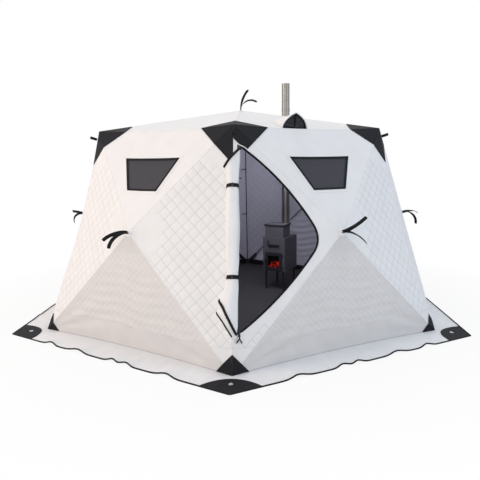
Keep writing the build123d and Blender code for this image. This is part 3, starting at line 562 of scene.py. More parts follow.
# %% [markdown]
# **Windows as openings.** A window is a trapezium whose size is known from the CAD model. By hand one
# would bisect the panel along its four sides and delete the middle. Faces are picked here by the place
# of their middle, so the same cut also trims a pane or a border to the outline.

# %% Window openings
WINDOW_DROP = 0.290
WINDOW_HEIGHT = 0.290
WINDOW_TOP = 0.576
WINDOW_BOTTOM = 0.312


def window_corners(i, margin):
    """Corners of a wall's window, grown by a margin, anticlockwise from outside."""
    left, _, right = corners(("upper", i))
    origin = (left + right) / 2
    x_way = (right - left).normalized()
    up = normal(("upper", i)).cross(x_way)
    lean = (WINDOW_TOP - WINDOW_BOTTOM) / (2 * WINDOW_HEIGHT)
    side = margin * (1 + lean ** 2) ** 0.5
    high = -WINDOW_DROP + margin
    low = -WINDOW_DROP - WINDOW_HEIGHT - margin
    wide = WINDOW_TOP / 2 + side + margin * lean
    narrow = WINDOW_BOTTOM / 2 + side - margin * lean
    flat = ((-wide, high), (-narrow, low), (narrow, low), (wide, high))
    return [origin + x_way * x + up * y for x, y in flat]


def drop_faces(cloth, chosen):
    """Delete the faces whose middle passes a test."""
    edit_faces(cloth, chosen, bpy.ops.mesh.delete, type="FACE")


def cut_window(cloth, i, margin, keep_inside):
    """Cut along a window's outline and keep what is inside it or what is outside."""
    ring = window_corners(i, margin)
    out = normal(("upper", i))
    sides = [(a, out.cross(b - a)) for a, b in zip(ring, ring[1:] + ring[:1])]
    for point, inward in sides:
        trim(cloth, point, inward, clear=keep_inside)
    if not keep_inside:
        drop_faces(cloth, lambda middle: all((middle - point).dot(way) > 0 for point, way in sides))


print("window of the front right wall", [[round(v, 3) for v in point] for point in window_corners(0, 0)])

# %% [markdown]
# **Doorway outline.** The zip opens the right half of the front corner. Its two slanted sides bow
# outwards and meet in a rounded nose near the hub. So the outline is two shallow arcs, with a smooth
# bend between them for the nose, and a straight side along the corner.

# %% Doorway outline
EDGE = POINTS["top", 0] - POINTS["base", 0]
CORNER_EDGE = EDGE.normalized()
DOOR_NORMAL = normal(("left_side", 0))
DOOR_ACROSS = CORNER_EDGE.cross(DOOR_NORMAL)
DOOR_SIDE, DOOR_SILL, DOOR_HEAD = 0.040, 0.300, 0.166
DOOR_NOSE_MARGIN, DOOR_NOSE_DROP, DOOR_NOSE_ROUND = 0.185, 0.069, 0.140
NOSE_SHARE, NOSE_STEPS = 0.75, 8
UPPER_BOW, LOWER_BOW = 0.062, 0.046
BOW_STEPS = 24


def door_point(x, y):
    """Point on the door panel, x across from the front corner edge and y up it."""
    return POINTS["base", 0] + DOOR_ACROSS * x + CORNER_EDGE * y


def on_door(point):
    """Flat place of a point on the door panel."""
    way = point - POINTS["base", 0]
    return Vector((way.dot(DOOR_ACROSS), way.dot(CORNER_EDGE)))


DOOR_NOSE = on_door(POINTS["hub", 0]) - Vector((DOOR_NOSE_MARGIN, DOOR_NOSE_DROP))
DOOR_TOP = Vector((DOOR_SIDE, EDGE.length - DOOR_HEAD))
DOOR_FOOT = Vector((DOOR_SIDE, DOOR_SILL))


def bowed(start, end, bow):
    """Points of a shallow arc from a start to just short of an end, bowed to its left."""
    way = end - start
    left = Vector((-way.y, way.x)).normalized()
    steps = [k / BOW_STEPS for k in range(BOW_STEPS)]
    return [start + way * t + left * (4 * bow * t * (1 - t)) for t in steps]


def bend(first, middle, last, t):
    """Point of a smooth bend from one point to another, drawn towards a middle one."""
    return first * (1 - t) ** 2 + middle * (2 * t * (1 - t)) + last * t ** 2


def rounded_nose(outline, reach):
    """Replace the points within a reach of the nose by a smooth bend between their ends."""
    near = [k for k, p in enumerate(outline) if (p - DOOR_NOSE).length < reach]
    before, beyond = outline[:near[0]], outline[near[-1] + 1:]
    return before + [bend(before[-1], DOOR_NOSE, beyond[0], k / NOSE_STEPS)
                     for k in range(1, NOSE_STEPS)] + beyond


DOOR_OUTLINE = rounded_nose(
    bowed(DOOR_TOP, DOOR_NOSE, UPPER_BOW) + bowed(DOOR_NOSE, DOOR_FOOT, LOWER_BOW)
    + bowed(DOOR_FOOT, DOOR_TOP, 0), DOOR_NOSE_ROUND * NOSE_SHARE)
print("doorway outline has", len(DOOR_OUTLINE), "points")

# %% [markdown]
# **Cutting the doorway.** A bisection goes right across what is selected, so it can't follow a bent
# outline in one go. Each short stretch of the outline bisects only the cells beside it, and then the
# faces inside the outline are deleted. The edge comes out clean, without steps.

# %% Cutting the doorway
SIDE_CELL = 0.076


def grown(outline, margin):
    """An outline moved outwards by a margin, point by point."""
    moved = []
    for k, point in enumerate(outline):
        way = (outline[(k + 1) % len(outline)] - outline[k - 1]).normalized()
        moved.append(point + Vector((-way.y, way.x)) * margin)
    return moved


def inside(outline, point):
    """Whether a flat point lies inside an outline, by counting crossings."""
    found = False
    for a, b in zip(outline, outline[1:] + outline[:1]):
        if (a.y > point.y) != (b.y > point.y):
            if point.x < a.x + (b.x - a.x) * (point.y - a.y) / (b.y - a.y):
                found = not found
    return found


def cut_doorway(cloth):
    """Cut the doorway out of the door panel, one short bisection for each stretch of its outline."""
    for start, end in zip(DOOR_OUTLINE, DOOR_OUTLINE[1:] + DOOR_OUTLINE[:1]):
        way = (end - start).normalized()
        reach = (end - start).length / 2 + SIDE_CELL

        def beside(middle):
            place = on_door(middle) - (start + end) / 2
            return abs(place.dot(way)) < reach and abs(place.x * way.y - place.y * way.x) < SIDE_CELL

        edit_faces(cloth, beside, bpy.ops.mesh.bisect, plane_co=door_point(*start),
                   plane_no=DOOR_ACROSS * -way.y + CORNER_EDGE * way.x)
    drop_faces(cloth, lambda middle: inside(DOOR_OUTLINE, on_door(middle)))


print("doorway within", [round(v, 3) for v in DOOR_FOOT], "to", [round(v, 3) for v in DOOR_TOP])

# %% [markdown]
# **Folds and padding.** Cloth between pegs shows folds that fan out from them, and the strip along the
# ground hangs slack. The quilting is full in the middle of a panel and fades towards hubs, caps and
# zip. A formula gives both, because hand-placed folds would have to be made six times.

# %% Folds and padding
STRIP_HEIGHT, STRIP_NEAR = 0.185, 1e-4
# Distances over which the padding comes in, from a hub and from a cap's corner
HUB_SMOOTH = {"lower": (0.04, 0.20), "left_side": (0.10, 0.34), "right_side": (0.10, 0.34)}
CAP_SMOOTH = (0.31, 0.36)
DOOR_SMOOTH = 0.075
CLOTH_THICKNESS = 0.008
FOLD_HEIGHT = 0.009
FOLDS = 21
FOLD_FADE = 9
FOLD_START, FOLD_END = (0.06, 0.28), (0.40, 1.0)
SLACK = 0.009
SLACK_WAVES = (17, 23)
WRINKLE = 0.0048
WRINKLE_PITCH = 0.085
WRINKLE_SWAYS = ((1.6, 5), (0.8, 13))
DOOR_BORDER = grown(DOOR_OUTLINE, DOOR_SMOOTH)


def eased(value, low, high):
    """0 below a range, 1 above it and a smooth step between."""
    t = min(max((value - low) / (high - low), 0), 1)
    return t * t * (3 - 2 * t)


def padding_of(kind, i):
    """How padded a wall's panel is at a point: not in the strip along the ground, closed off by a seam."""
    def padding(point):
        if abs(point.z - STRIP_HEIGHT) < STRIP_NEAR:
            return 1.0
        if point.z < STRIP_HEIGHT or (i == 0 and inside(DOOR_BORDER, on_door(point))):
            return 0.0
        cap = min((point - POINTS["top", k]).length for k in (i, after(i)))
        return eased((point - POINTS["hub", i]).length, *HUB_SMOOTH[kind]) * eased(cap, *CAP_SMOOTH)
    return padding


def crease(cloth, panel):
    """Folds that fan out from the pegged corners, wrinkles across the lower panel, slack by the ground."""
    kind, i = panel
    out = normal(panel)
    along = at(1, WALL_ANGLES[i] + 90, 0)
    feet = [POINTS[label] for label in PANELS[panel] if label[0] == "base"]
    for vertex in cloth.data.vertices:
        fade = min(1.0, FOLD_FADE * min(shares(panel, vertex.co)))
        lift = 0.0
        for k, foot in enumerate(feet):
            way = vertex.co - foot
            angle = way.z / max(way.length, CLOTH_THICKNESS)
            near = eased(way.length, *FOLD_START) * (1 - eased(way.length, *FOLD_END))
            lift += FOLD_HEIGHT * near * sin(FOLDS * angle + 2 * k + i)
        if kind == "lower" and vertex.co.z > STRIP_HEIGHT:
            sway = sum(size * sin(rate * vertex.co.dot(along)) for size, rate in WRINKLE_SWAYS)
            lift += WRINKLE * sin(2 * pi * vertex.co.z / WRINKLE_PITCH + sway)
        if vertex.co.z < STRIP_HEIGHT:
            loose = SLACK * sin(pi * vertex.co.z / STRIP_HEIGHT)
            lift += loose * sin(SLACK_WAVES[0] * vertex.co.x + 2 * i) * cos(SLACK_WAVES[1] * vertex.co.y)
        vertex.co += out * (lift * max(fade, 0.0))


print("padding in the middle of a side panel", padding_of("left_side", 1)(
    sum(corners(("left_side", 1)), Vector()) / 3))

# %% [markdown]
# **Walls.** Each wall is four panels sewn together. Side panels have cells of about 75 mm, the lower
# panel a finer stitch, and the upper panel is smooth. The door panel has no folds, because its zip holds
# it flat. Solidify gives the cloth its thickness inwards and puts the next material, the grey lining,
# on the inside.

# %% Walls
LOWER_CELL = 0.042
SMOOTH_CELL = 0.070
DOOR_PANEL = ("left_side", 0)


def smooth_panel(panel, start):
    """A settled panel without quilting, its grid level with the eaves."""
    left, right = POINTS["top", panel[1]], POINTS["top", after(panel[1])]
    cloth = cut_cloth(panel, POINTS[start], right - left, SMOOTH_CELL)
    if panel[0] == "upper":
        cut_window(cloth, panel[1], 0, keep_inside=False)
    soften(cloth)
    settle(cloth, panel)
    return cloth


def quilted_panel(kind, i):
    """A settled panel with quilting."""
    panel = (kind, i)
    hub = POINTS["hub", i]
    if kind == "lower":
        diagonal = (POINTS["base", after(i)] - POINTS["base", i]).normalized() + UP
        cloth = cut_cloth(panel, hub, diagonal, LOWER_CELL)
    else:
        top = POINTS["top", i if kind == "left_side" else after(i)]
        cloth = cut_cloth(panel, hub, top - hub, SIDE_CELL)
    trim(cloth, UP * STRIP_HEIGHT, UP, clear=False)
    if panel == DOOR_PANEL:
        cut_doorway(cloth)
    quilt_cells(cloth, panel, padding_of(kind, i))
    soften(cloth)
    if panel != DOOR_PANEL:
        crease(cloth, panel)
    settle(cloth, panel)
    return cloth


for i, name in enumerate(WALL_NAMES):
    panels = [quilted_panel(kind, i) for kind in ("lower", "left_side", "right_side")]
    panels.append(smooth_panel(("upper", i), ("hub", i)))
    lower_faces = len(panels[0].data.polygons)
    wall = join(f"{name}_quilt", panels)
    wear(wall, SHELL_CLOTH, LINING, LOWER_CLOTH, LINING)
    # The lower panel's faces take the darker cloth, whose tone is painted shade
    for face in list(wall.data.polygons)[:lower_faces]:
        face.material_index = 2
    nodes = (f"{name}_wall", "door_panel") if i == 0 else (f"{name}_wall",)
    sew_sheet(wall, CLOTH_THICKNESS, -1, None, nodes)

# %% [markdown]
# **Roof.** Six triangles meet at the roof hub. Pulled eaves give the cloth its slight dish, so the six
# are cut smooth, settled and sewn into one cover.

# %% Roof cover
roof = join("roof_cover", [smooth_panel(("roof", i), ("roof", 0)) for i in range(SIDES)])
wear(roof, SHELL_CLOTH, LINING)
sew_sheet(roof, CLOTH_THICKNESS, -1, None, [f"{name}_roof" for name in WALL_NAMES])

# %% [markdown]
# **Corner caps and foot patches.** Charcoal pieces are sewn over every corner. They are cut from the
# same panels, from the corner to a straight hem, and lie a couple of millimetres over the white cloth.
# The front cap is cut back on a slant where the doorway's zip passes under it.

# %% Reinforcements
PATCH_CELL = 0.045
PATCH_LIFT = 0.0015
PATCH_THICKNESS = 0.003
CAP_REACHES = {"roof": 0.328, "top": 0.328, "base": 0.328, "hub": 0.215}
FOOT_REACHES = {"top": 0.152, "base": 0.152, "hub": 0.112}
CAP_NOTCH = 0.055
NOTCH_SLANT = 1.5
NOTCH_REACH = 2 * DOOR_SIDE
CAP_ZIP_MARGIN = 0.019
PANEL_NEAR = 0.006


def corner_patch(corner, reaches):
    """Cloth over every panel that meets a corner, out to a reach along each seam."""
    tip = POINTS[corner]
    facets = []
    for panel, labels in PANELS.items():
        if corner in labels:
            others = [label for label in labels if label != corner]
            ends = [tip + (POINTS[label] - tip).normalized() * reaches[label[0]] for label in others]
            facet = cut_cloth(panel, tip, ends[1] - ends[0], PATCH_CELL)
            hem = normal(panel).cross(ends[1] - ends[0])
            trim(facet, ends[0], hem if hem.dot(tip - ends[0]) > 0 else -hem)
            settle(facet, panel, PATCH_LIFT)
            facets.append(facet)
    return facets


def on_panel(point):
    """Whether a point lies on the door panel or just off it."""
    return abs((point - POINTS["base", 0]).dot(DOOR_NORMAL)) < PANEL_NEAR and on_door(point).x > 0


def notch_cap(patches):
    """Cut the front cap back round the doorway and on a slant above it."""
    outline = grown(DOOR_OUTLINE, CAP_ZIP_MARGIN)
    notch = door_point(0, DOOR_TOP.y + CAP_NOTCH)
    slant = (DOOR_ACROSS * CAP_NOTCH + CORNER_EDGE * (NOTCH_SLANT * DOOR_SIDE)).normalized()

    def beside(middle):
        return on_panel(middle) and on_door(middle).x < NOTCH_REACH

    drop_faces(patches, lambda middle: on_panel(middle) and inside(outline, on_door(middle)))
    edit_faces(patches, beside, bpy.ops.mesh.bisect, plane_co=notch, plane_no=slant)
    drop_faces(patches, lambda middle: beside(middle) and (middle - notch).dot(slant) < 0)


def patch_set(name, node, kind, reaches):
    """The patches of all six corners as one piece."""
    patches = join(name, [facet for i in range(SIDES) for facet in corner_patch((kind, i), reaches)])
    if kind == "top":
        notch_cap(patches)
    sew_sheet(patches, PATCH_THICKNESS, 1, [DARK_CLOTH], [node])


patch_set("corner_cap_cloth", "corner_caps", "top", CAP_REACHES)
patch_set("foot_patch_cloth", "foot_patches", "base", FOOT_REACHES)

# %% [markdown]
# **Windows.** A pane of mesh is sewn behind each opening. Round it on the outside lie a plain white
# border and, over that, a narrow black binding.

# %% Window panes, borders and bindings
PANE_LAP = 0.022
BORDER = 0.036
BINDING = 0.012
BINDING_LIP = 0.006
PANE_LIFT, BORDER_LIFT, BINDING_LIFT = -0.004, 0.0006, 0.0022
PANE_THICKNESS, TRIM_THICKNESS = 0.001, 0.0015


def window_sheet(i, margin, lift, inner):
    """A sheet over a window, grown by a margin, lifted off the cloth, open inside its inner margin."""
    panel = ("upper", i)
    left, _, right = corners(panel)
    sheet = cut_cloth(panel, POINTS["hub", i], right - left, PATCH_CELL)
    cut_window(sheet, i, margin, keep_inside=True)
    if inner is not None:
        cut_window(sheet, i, inner, keep_inside=False)
    settle(sheet, panel, lift)
    return sheet


def window_set(name, nodes, margin, lift, inner, thickness, material):
    """The same sheet on all six windows, as one piece."""
    sheets = join(name, [window_sheet(i, margin, lift, inner) for i in range(SIDES)])
    sew_sheet(sheets, thickness, -1 if inner is None else 1, [material], nodes)


window_set("window_mesh_panes", ["window_panes"], PANE_LAP, PANE_LIFT, None, PANE_THICKNESS, WINDOW_MESH)
window_set("window_borders", [], BORDER, BORDER_LIFT, 0, TRIM_THICKNESS, SHELL_CLOTH)
window_set("window_bindings", ["window_trims"], BINDING, BINDING_LIFT, -BINDING_LIP, TRIM_THICKNESS, WEBBING)

# %% [markdown]
# **Snow skirt.** A loose strip runs out over the ice from the foot of each wall. It lies flat at the
# corners, where it is pegged, and ripples between them. A grid whose points are set by a formula
# gives the ripples.

# %% Snow skirt
# Place along the wall and width of each ripple
RIPPLE_SHARES = ((0.24, 0.045), (0.41, 0.035), (0.47, 0.03), (0.64, 0.05), (0.78, 0.035))
RIPPLE_RISE = 0.016
RIPPLE_DRAW = 0.018
RIPPLE_CURVE = 1.5
PUCKER = 0.0024
PUCKERS, PUCKER_DRIFT, PUCKER_FADE = 110, (3, 9), 6
SKIRT_SEGMENTS = 144
SKIRT_ROWS = 8
SKIRT_THICKNESS = 0.0025
SKIRT_LAYER = 0.002


def grid(columns, rows, place):
    """A grid whose points a formula places from x and y, which run from -1 to 1."""
    deselect()
    bpy.ops.mesh.primitive_grid_add(x_subdivisions=columns, y_subdivisions=rows, size=2)
    for vertex in bpy.context.object.data.vertices:
        vertex.co = place(vertex.co.x, vertex.co.y)
    return bpy.context.object


def ripple(u, turn):
    """Height of the skirt's ripples along its edge, zero at the corners."""
    total = 0.0
    for place, width in RIPPLE_SHARES:
        shifted = place if turn % 2 == 0 else 1 - place
        total += exp(-((u - shifted) / width) ** 2 * 2)
    return total


def skirt_point(i, u, v):
    """Point of a skirt strip, u along the wall and v from the wall to the outer edge."""
    first, second = CORNER_ANGLES[i], CORNER_ANGLES[after(i)]
    inner = at(BASE_RADIUS, first, 0).lerp(at(BASE_RADIUS, second, 0), u)
    inner += pull_between(("base", i), ("base", after(i))) * (4 * u * (1 - u))
    outer = at(SKIRT_RADIUS, first, 0).lerp(at(SKIRT_RADIUS, second, 0), u)
    wave = ripple(u, i)
    outer += at(-RIPPLE_DRAW * wave, WALL_ANGLES[i], 0)
    point = inner.lerp(outer, v)
    drift, rate = PUCKER_DRIFT
    pucker = PUCKER * (1 + sin(PUCKERS * u + drift * sin(rate * u))) * 4 * v * (1 - v)
    pucker *= min(1, PUCKER_FADE * u, PUCKER_FADE - PUCKER_FADE * u)
    point.z = SKIRT_THICKNESS + RIPPLE_RISE * wave * v ** RIPPLE_CURVE + pucker
    return point


for i, name in enumerate(WALL_NAMES):
    strip = grid(SKIRT_SEGMENTS, SKIRT_ROWS, lambda x, y: skirt_point(i, (x + 1) / 2, (1 - y) / 2))
    strip.name = f"{name}_skirt_cloth"
    sew_sheet(strip, SKIRT_LAYER, -1, [SKIRT_CLOTH], [f"{name}_skirt"])

# %% [markdown]
# **Skirt piping.** A black piping is sewn along the skirt's outer edge. A curve with a round bevel follows
# the same points as the skirt does and is then converted to a mesh, which is the quickest way to any
# thin round edge. Seams, tapes and coils further down are made in the same way.

# %% Skirt piping
PIPING_RADIUS, PIPING_LIFT = 0.0062, 0.002


def sewn_tube(path, radius):
    """A thin round edge that follows points, as a mesh."""
    curve = bpy.data.curves.new("tube", "CURVE")
    curve.dimensions = "3D"
    curve.bevel_depth = radius
    curve.bevel_resolution = 1
    spline = curve.splines.new("POLY")
    spline.points.add(len(path) - 1)
    for point, place in zip(spline.points, path):
        point.co = (*place, 1)
    tube = bpy.data.objects.new("tube", curve)
    bpy.context.scene.collection.objects.link(tube)
    pick(tube)
    bpy.ops.object.convert(target="MESH")
    return bpy.context.object


def tube_set(name, tubes, material=WEBBING):
    """Tubes, each a path and a radius, as one dressed piece."""
    dress(join(name, [sewn_tube(*tube) for tube in tubes]), [material])


def skirt_edge(i):
    """Points along the outer edge of a skirt strip."""
    return [skirt_point(i, k / SKIRT_SEGMENTS, 1) + UP * PIPING_LIFT for k in range(SKIRT_SEGMENTS + 1)]


tube_set("skirt_piping", [(skirt_edge(i), PIPING_RADIUS) for i in range(SIDES)])

# %% [markdown]
# **Rolled door.** The door is rolled up along the front corner and tied twice. It is a tube of rings
# whose size follows the ties, with soft lengthwise folds, pressed flat where it lies on the walls.
# Its top is cut on a slant, and below the lower tie its corner hangs out to the left like a leaf.

# %% Rolled door
ROLL_HEAD = 0.105
ROLL = 0.128
ROLL_STANDOFF = 0.026
ROLL_CLEAR = 0.004
ROLL_DROP = 0.045
ROLL_FOOT = DOOR_SILL - ROLL_DROP
ROLL_LENGTH = DOOR_TOP.y - ROLL_HEAD - ROLL_FOOT
FRONT = at(1, CORNER_ANGLES[0], 0)
CORNER_OUT = (FRONT - CORNER_EDGE * CORNER_EDGE.dot(FRONT)).normalized()
CORNER_SIDE = CORNER_EDGE.cross(CORNER_OUT)
WALL_SLOPE = DOOR_ACROSS.dot(CORNER_OUT) / DOOR_ACROSS.dot(CORNER_SIDE)
# Share of the length, then the roll's size and its shift to the right as shares of its radius
ROLL_SECTION_SHARES = (
    (0.0, 0.12, 0.30), (0.03, 0.48, 0.05), (0.08, 0.96, -0.34), (0.14, 1.20, -0.56), (0.20, 1.06, -0.40),
    (0.27, 0.84, -0.14), (0.34, 0.64, 0.0), (0.42, 0.76, 0.0), (0.58, 0.84, 0.0), (0.78, 0.78, 0.0),
    (0.84, 0.70, 0.0), (0.90, 0.80, 0.0), (0.96, 0.92, 0.0), (1.0, 0.94, 0.0),
)
ROLL_RINGS = 110
ROLL_SEGMENTS = 44
ROLL_FOLDS, FOLD_TWIST = 5, 5
ROLL_TAPER = 4
ROLL_WELD = 0.0003
FOLD_SHARE = 0.045
UNEVEN_SHARE, UNEVEN_WAVES = 0.02, 23
TOP_SLANT = 1.15
SLANT_FROM = 0.86


def roll_section(t):
    """Size and shift of the roll at a share of its length, eased between the listed sections."""
    for (t0, s0, x0), (t1, s1, x1) in zip(ROLL_SECTION_SHARES, ROLL_SECTION_SHARES[1:]):
        if t <= t1:
            k = eased(t, t0, t1)
            return s0 + (s1 - s0) * k, x0 + (x1 - x0) * k
    return ROLL_SECTION_SHARES[-1][1:]


def roll_point(t, angle, lift=0.0):
    """Point on the roll at a share of its length and an angle about it, a lift off its surface."""
    size, shift = roll_section(t)
    folds = 1 + FOLD_SHARE * sin(ROLL_FOLDS * angle + FOLD_TWIST * t)
    folds += UNEVEN_SHARE * sin(UNEVEN_WAVES * t + angle)
    radius = ROLL / 2 * size * folds + lift
    side = radius * cos(angle) + ROLL / 2 * shift
    out = ROLL_STANDOFF * min(1, ROLL_TAPER * size) + radius * sin(angle)
    out = max(out, -abs(side * WALL_SLOPE) + ROLL_CLEAR + lift)
    along = ROLL_FOOT + ROLL_LENGTH * t + TOP_SLANT * side * eased(t, SLANT_FROM, 1.0)
    return POINTS["base", 0] + CORNER_EDGE * along + CORNER_SIDE * side + CORNER_OUT * out


OUTWARDS = (bpy.ops.mesh.normals_make_consistent, {"inside": False})
roll = grid(ROLL_SEGMENTS, ROLL_RINGS, lambda x, y: roll_point((y + 1) / 2, pi * (x + 1)))
roll.name = "rolled_door_cloth"
edit_all(roll, (bpy.ops.mesh.remove_doubles, {"threshold": ROLL_WELD}),
         (bpy.ops.mesh.select_mode, {"type": "EDGE"}), (bpy.ops.mesh.select_all, {"action": "DESELECT"}),
         (bpy.ops.mesh.select_non_manifold, {}), (bpy.ops.mesh.fill_holes, {"sides": 0}),
         (bpy.ops.mesh.select_all, {"action": "SELECT"}), OUTWARDS)
dress(roll, [SHELL_CLOTH], smooth=70)
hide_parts("door_roll")

# %% [markdown]
# **Zip tapes on the roll.** The door's zip edge shows as a black line round the slanted top and as two
# lines, one thick and one thin, that cross the leaf at the bottom. Each is a tube laid on the roll's own
# surface, straight as seen from the front.

# %% Zip tapes of the rolled door
TAPE_RADIUS = 0.0100
THIN_TAPE_RADIUS = 0.0055
TAPE_LIFT = 0.004
TAPE_STEPS = 28
# Start and end of each tape, as a share of the roll's length and a place to its side, and its radius
ROLL_TAPES = (
    ((0.995, 0.060), (0.995, -0.060), TAPE_RADIUS),
    ((0.03, 0.030), (0.21, -0.093), TAPE_RADIUS),
    ((0.02, 0.000), (0.146, -0.113), THIN_TAPE_RADIUS),
)


def tape_on_roll(start, end, radius):
    """Path and radius of a tape over the roll's front from one place to another."""
    path = []
    for k in range(TAPE_STEPS + 1):
        t, side = Vector(start).lerp(Vector(end), k / TAPE_STEPS)
        size, shift = roll_section(t)
        lean = (side / (ROLL / 2) - shift) / size
        path.append(roll_point(t, acos(max(-1, min(1, lean))), TAPE_LIFT))
    return path, radius


tube_set("rolled_door_zip_tapes", [tape_on_roll(*tape) for tape in ROLL_TAPES])

# %% [markdown]
# **Door ties.** Two webbing bands hold the roll, each with a toggle of moulded nylon in front. A band is
# a grid wrapped round the roll's own surface, so it follows the folds.

# %% Door ties
TIE_SHARES = (0.33, 0.83)
TIE_WIDTH = 0.030
TIE_ROWS = 4
TIE_LIFT, TIE_CROWN, TIE_THICKNESS = 0.0025, 0.0018, 0.0022
TOGGLE_STEP, TOGGLE_LIFT, TOGGLE_RADIUS = 0.011, 0.009, 0.006
WELD = 0.0002


def weld(piece):
    """Merge points that meet and turn the faces outwards."""
    edit_all(piece, (bpy.ops.mesh.remove_doubles, {"threshold": WELD}), OUTWARDS)
    return piece


def wrapped_tie(t):
    """A band round the roll at a share of its length."""
    tie = weld(grid(ROLL_SEGMENTS, TIE_ROWS, lambda x, y: roll_point(
        t + y * TIE_WIDTH / 2 / ROLL_LENGTH, pi * (x + 1), TIE_LIFT + TIE_CROWN * (1 - y ** 2))))
    finish_with(tie, "SOLIDIFY", thickness=TIE_THICKNESS, offset=0)
    return tie


ties = join("door_tie_webbing", [wrapped_tie(t) for t in TIE_SHARES])
dress(ties, [WEBBING])
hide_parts("door_ties")
tube_set("door_tie_toggles", [
    ([roll_point(t + k * TOGGLE_STEP, pi / 2, TOGGLE_LIFT) for k in (-1, 0, 1)], TOGGLE_RADIUS)
    for t in TIE_SHARES], HUB_NYLON)

# %% [markdown]
# **Zip and welt of the doorway.** The zip tape is a band round the opening that folds over the cloth's
# cut edge. On it runs the coil of the zip, a thin ridge, and outside it a soft white welt that covers
# the stitching. At the foot hangs the slider with two short pulls.

# %% Zip tape, coil, welt and slider
ZIP_WIDTH = 0.011
ZIP_THICKNESS = 0.002
ZIP_FOLD = 0.002
ZIP_LAYER = 0.0015
COIL_RADIUS = 0.0028
WELT_GAP, WELT_LIFT, WELT_RADIUS = 0.005, 0.001, 0.0055
SLIDER_PLACE, SLIDER_LIFT, SLIDER_SIZE, SLIDER_BEVEL = (0.012, -0.010), 0.006, (0.016, 0.026, 0.008), 0.003
# Lift and drop of a pull's three points, and how far its end swings to either side
PULL_POINTS, PULL_SWINGS, PULL_RADIUS = ((0.004, 0), (0.009, 0.022), (0.005, 0.055)), (-0.022, 0.020), 0.0045


def door_path(margin, lift):
    """Closed path round the doorway at a margin, a lift off its panel."""
    ring = [door_point(*point) + DOOR_NORMAL * lift for point in grown(DOOR_OUTLINE, margin)]
    return ring + ring[:1]


def block(axes, centre, size, bevel):
    """A small box in some axes, with rounded edges."""
    deselect()
    bpy.ops.mesh.primitive_cube_add(size=1)
    made = bpy.context.object
    made.data.transform(axes @ Matrix.Translation(centre) @ Matrix.Diagonal((*size, 1)))
    edit_all(made, (bpy.ops.mesh.bevel, {"offset": bevel, "segments": 2}))
    return made


tape_edges = [door_path(-ZIP_FOLD, -CLOTH_THICKNESS), door_path(-ZIP_FOLD, 0.0)]
tape_edges += [door_path(ZIP_WIDTH * share, ZIP_THICKNESS) for share in (0, 0.5, 1)]
columns, rows = len(tape_edges[0]) - 1, len(tape_edges) - 1
zip_tape = weld(grid(columns, rows, lambda x, y: tape_edges[round((y + 1) / 2 * rows)][
    round((x + 1) / 2 * columns)]))
zip_tape.name = "door_zip_tape"
finish_with(zip_tape, "SOLIDIFY", thickness=ZIP_LAYER, offset=0)
dress(zip_tape, [WEBBING])
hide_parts("door_zip")
tube_set("door_zip_coil", [(door_path(ZIP_WIDTH / 2, ZIP_THICKNESS), COIL_RADIUS)])
tube_set("door_welt", [(door_path(ZIP_WIDTH + WELT_GAP, WELT_LIFT), WELT_RADIUS)], SHELL_CLOTH)

place = door_point(DOOR_FOOT.x + SLIDER_PLACE[0], DOOR_FOOT.y + SLIDER_PLACE[1]) + DOOR_NORMAL * SLIDER_LIFT
turn = Matrix((DOOR_ACROSS, CORNER_EDGE, DOOR_NORMAL)).transposed().to_4x4()
slider = [block(Matrix.Translation(place) @ turn, (0, 0, 0), SLIDER_SIZE, SLIDER_BEVEL)]
for swing in PULL_SWINGS:
    pull = [place + DOOR_NORMAL * lift - CORNER_EDGE * drop for lift, drop in PULL_POINTS]
    pull[-1] += DOOR_ACROSS * swing
    slider.append(sewn_tube(pull, PULL_RADIUS))
dress(join("door_zip_slider", slider), [WEBBING])

# %% [markdown]
# **Seams.** Panels are sewn together with a thin welted seam, which catches the light along every
# ridge, corner and eaves. A grey cord closes the wall to the skirt along the ground. Inside, charcoal
# tape covers the corner seams, with two short loops on each to hang things by.

# %% Seams
SEAM_STEPS = 40
SEAM_RADIUS = 0.0032
GROUND_SEAM_LIFT, GROUND_SEAM_RADIUS = 0.005, 0.002
INNER_TAPE_INSET, INNER_TAPE_RADIUS = 0.022, 0.006
LOOP_SHARES = (0.42, 0.78)
# How far along the wall and how high each point of a loop lies from its root
LOOP_POINTS, LOOP_RADIUS = ((0, 0), (0.03, 0.006), (0.065, -0.008)), 0.0055


def covered(point, end, other):
    """Whether a patch at one end of a seam covers a point of it."""
    reaches = {"base": FOOT_REACHES, "top": CAP_REACHES}.get(end[0], {})
    return (point - POINTS[end]).length < reaches.get(other[0], 0)


def seam_path(first, second, inwards=0.0):
    """Points along the settled edge between two shell points outside the patches, or moved inwards."""
    path = []
    for k in range(SEAM_STEPS + 1):
        t = k / SEAM_STEPS
        point = POINTS[first].lerp(POINTS[second], t) + pull_between(first, second) * (4 * t * (1 - t))
        if inwards:
            path.append(point - level(point) * inwards)
        elif not covered(point, first, second) and not covered(point, second, first):
            path.append(point)
    return path


ridges, ground_seams, inner_tapes = [], [], []
for i in range(SIDES):
    hub, top, base = ("hub", i), ("top", i), ("base", i)
    next_top, next_base = ("top", after(i)), ("base", after(i))
    ends = [(hub, top), (hub, next_top), (hub, base), (hub, next_base), (top, next_top), (top, ("roof", 0))]
    # The rolled door lies on the front corner's seam
    ridges += [(seam_path(*pair), SEAM_RADIUS) for pair in ends + ([(base, top)] if i else [])]
    ground = [point + UP * GROUND_SEAM_LIFT for point in seam_path(base, next_base)]
    ground_seams.append((ground, GROUND_SEAM_RADIUS))
    tape = seam_path(base, top, INNER_TAPE_INSET)[1:-1]
    inner_tapes.append((tape, INNER_TAPE_RADIUS))
    sideways = at(1, CORNER_ANGLES[i] + 90, 0)
    for share in LOOP_SHARES:
        root = tape[int(share * len(tape))]
        inner_tapes.append(([root + sideways * x + UP * z for x, z in LOOP_POINTS], LOOP_RADIUS))
tube_set("seam_welts", ridges, SHELL_CLOTH)
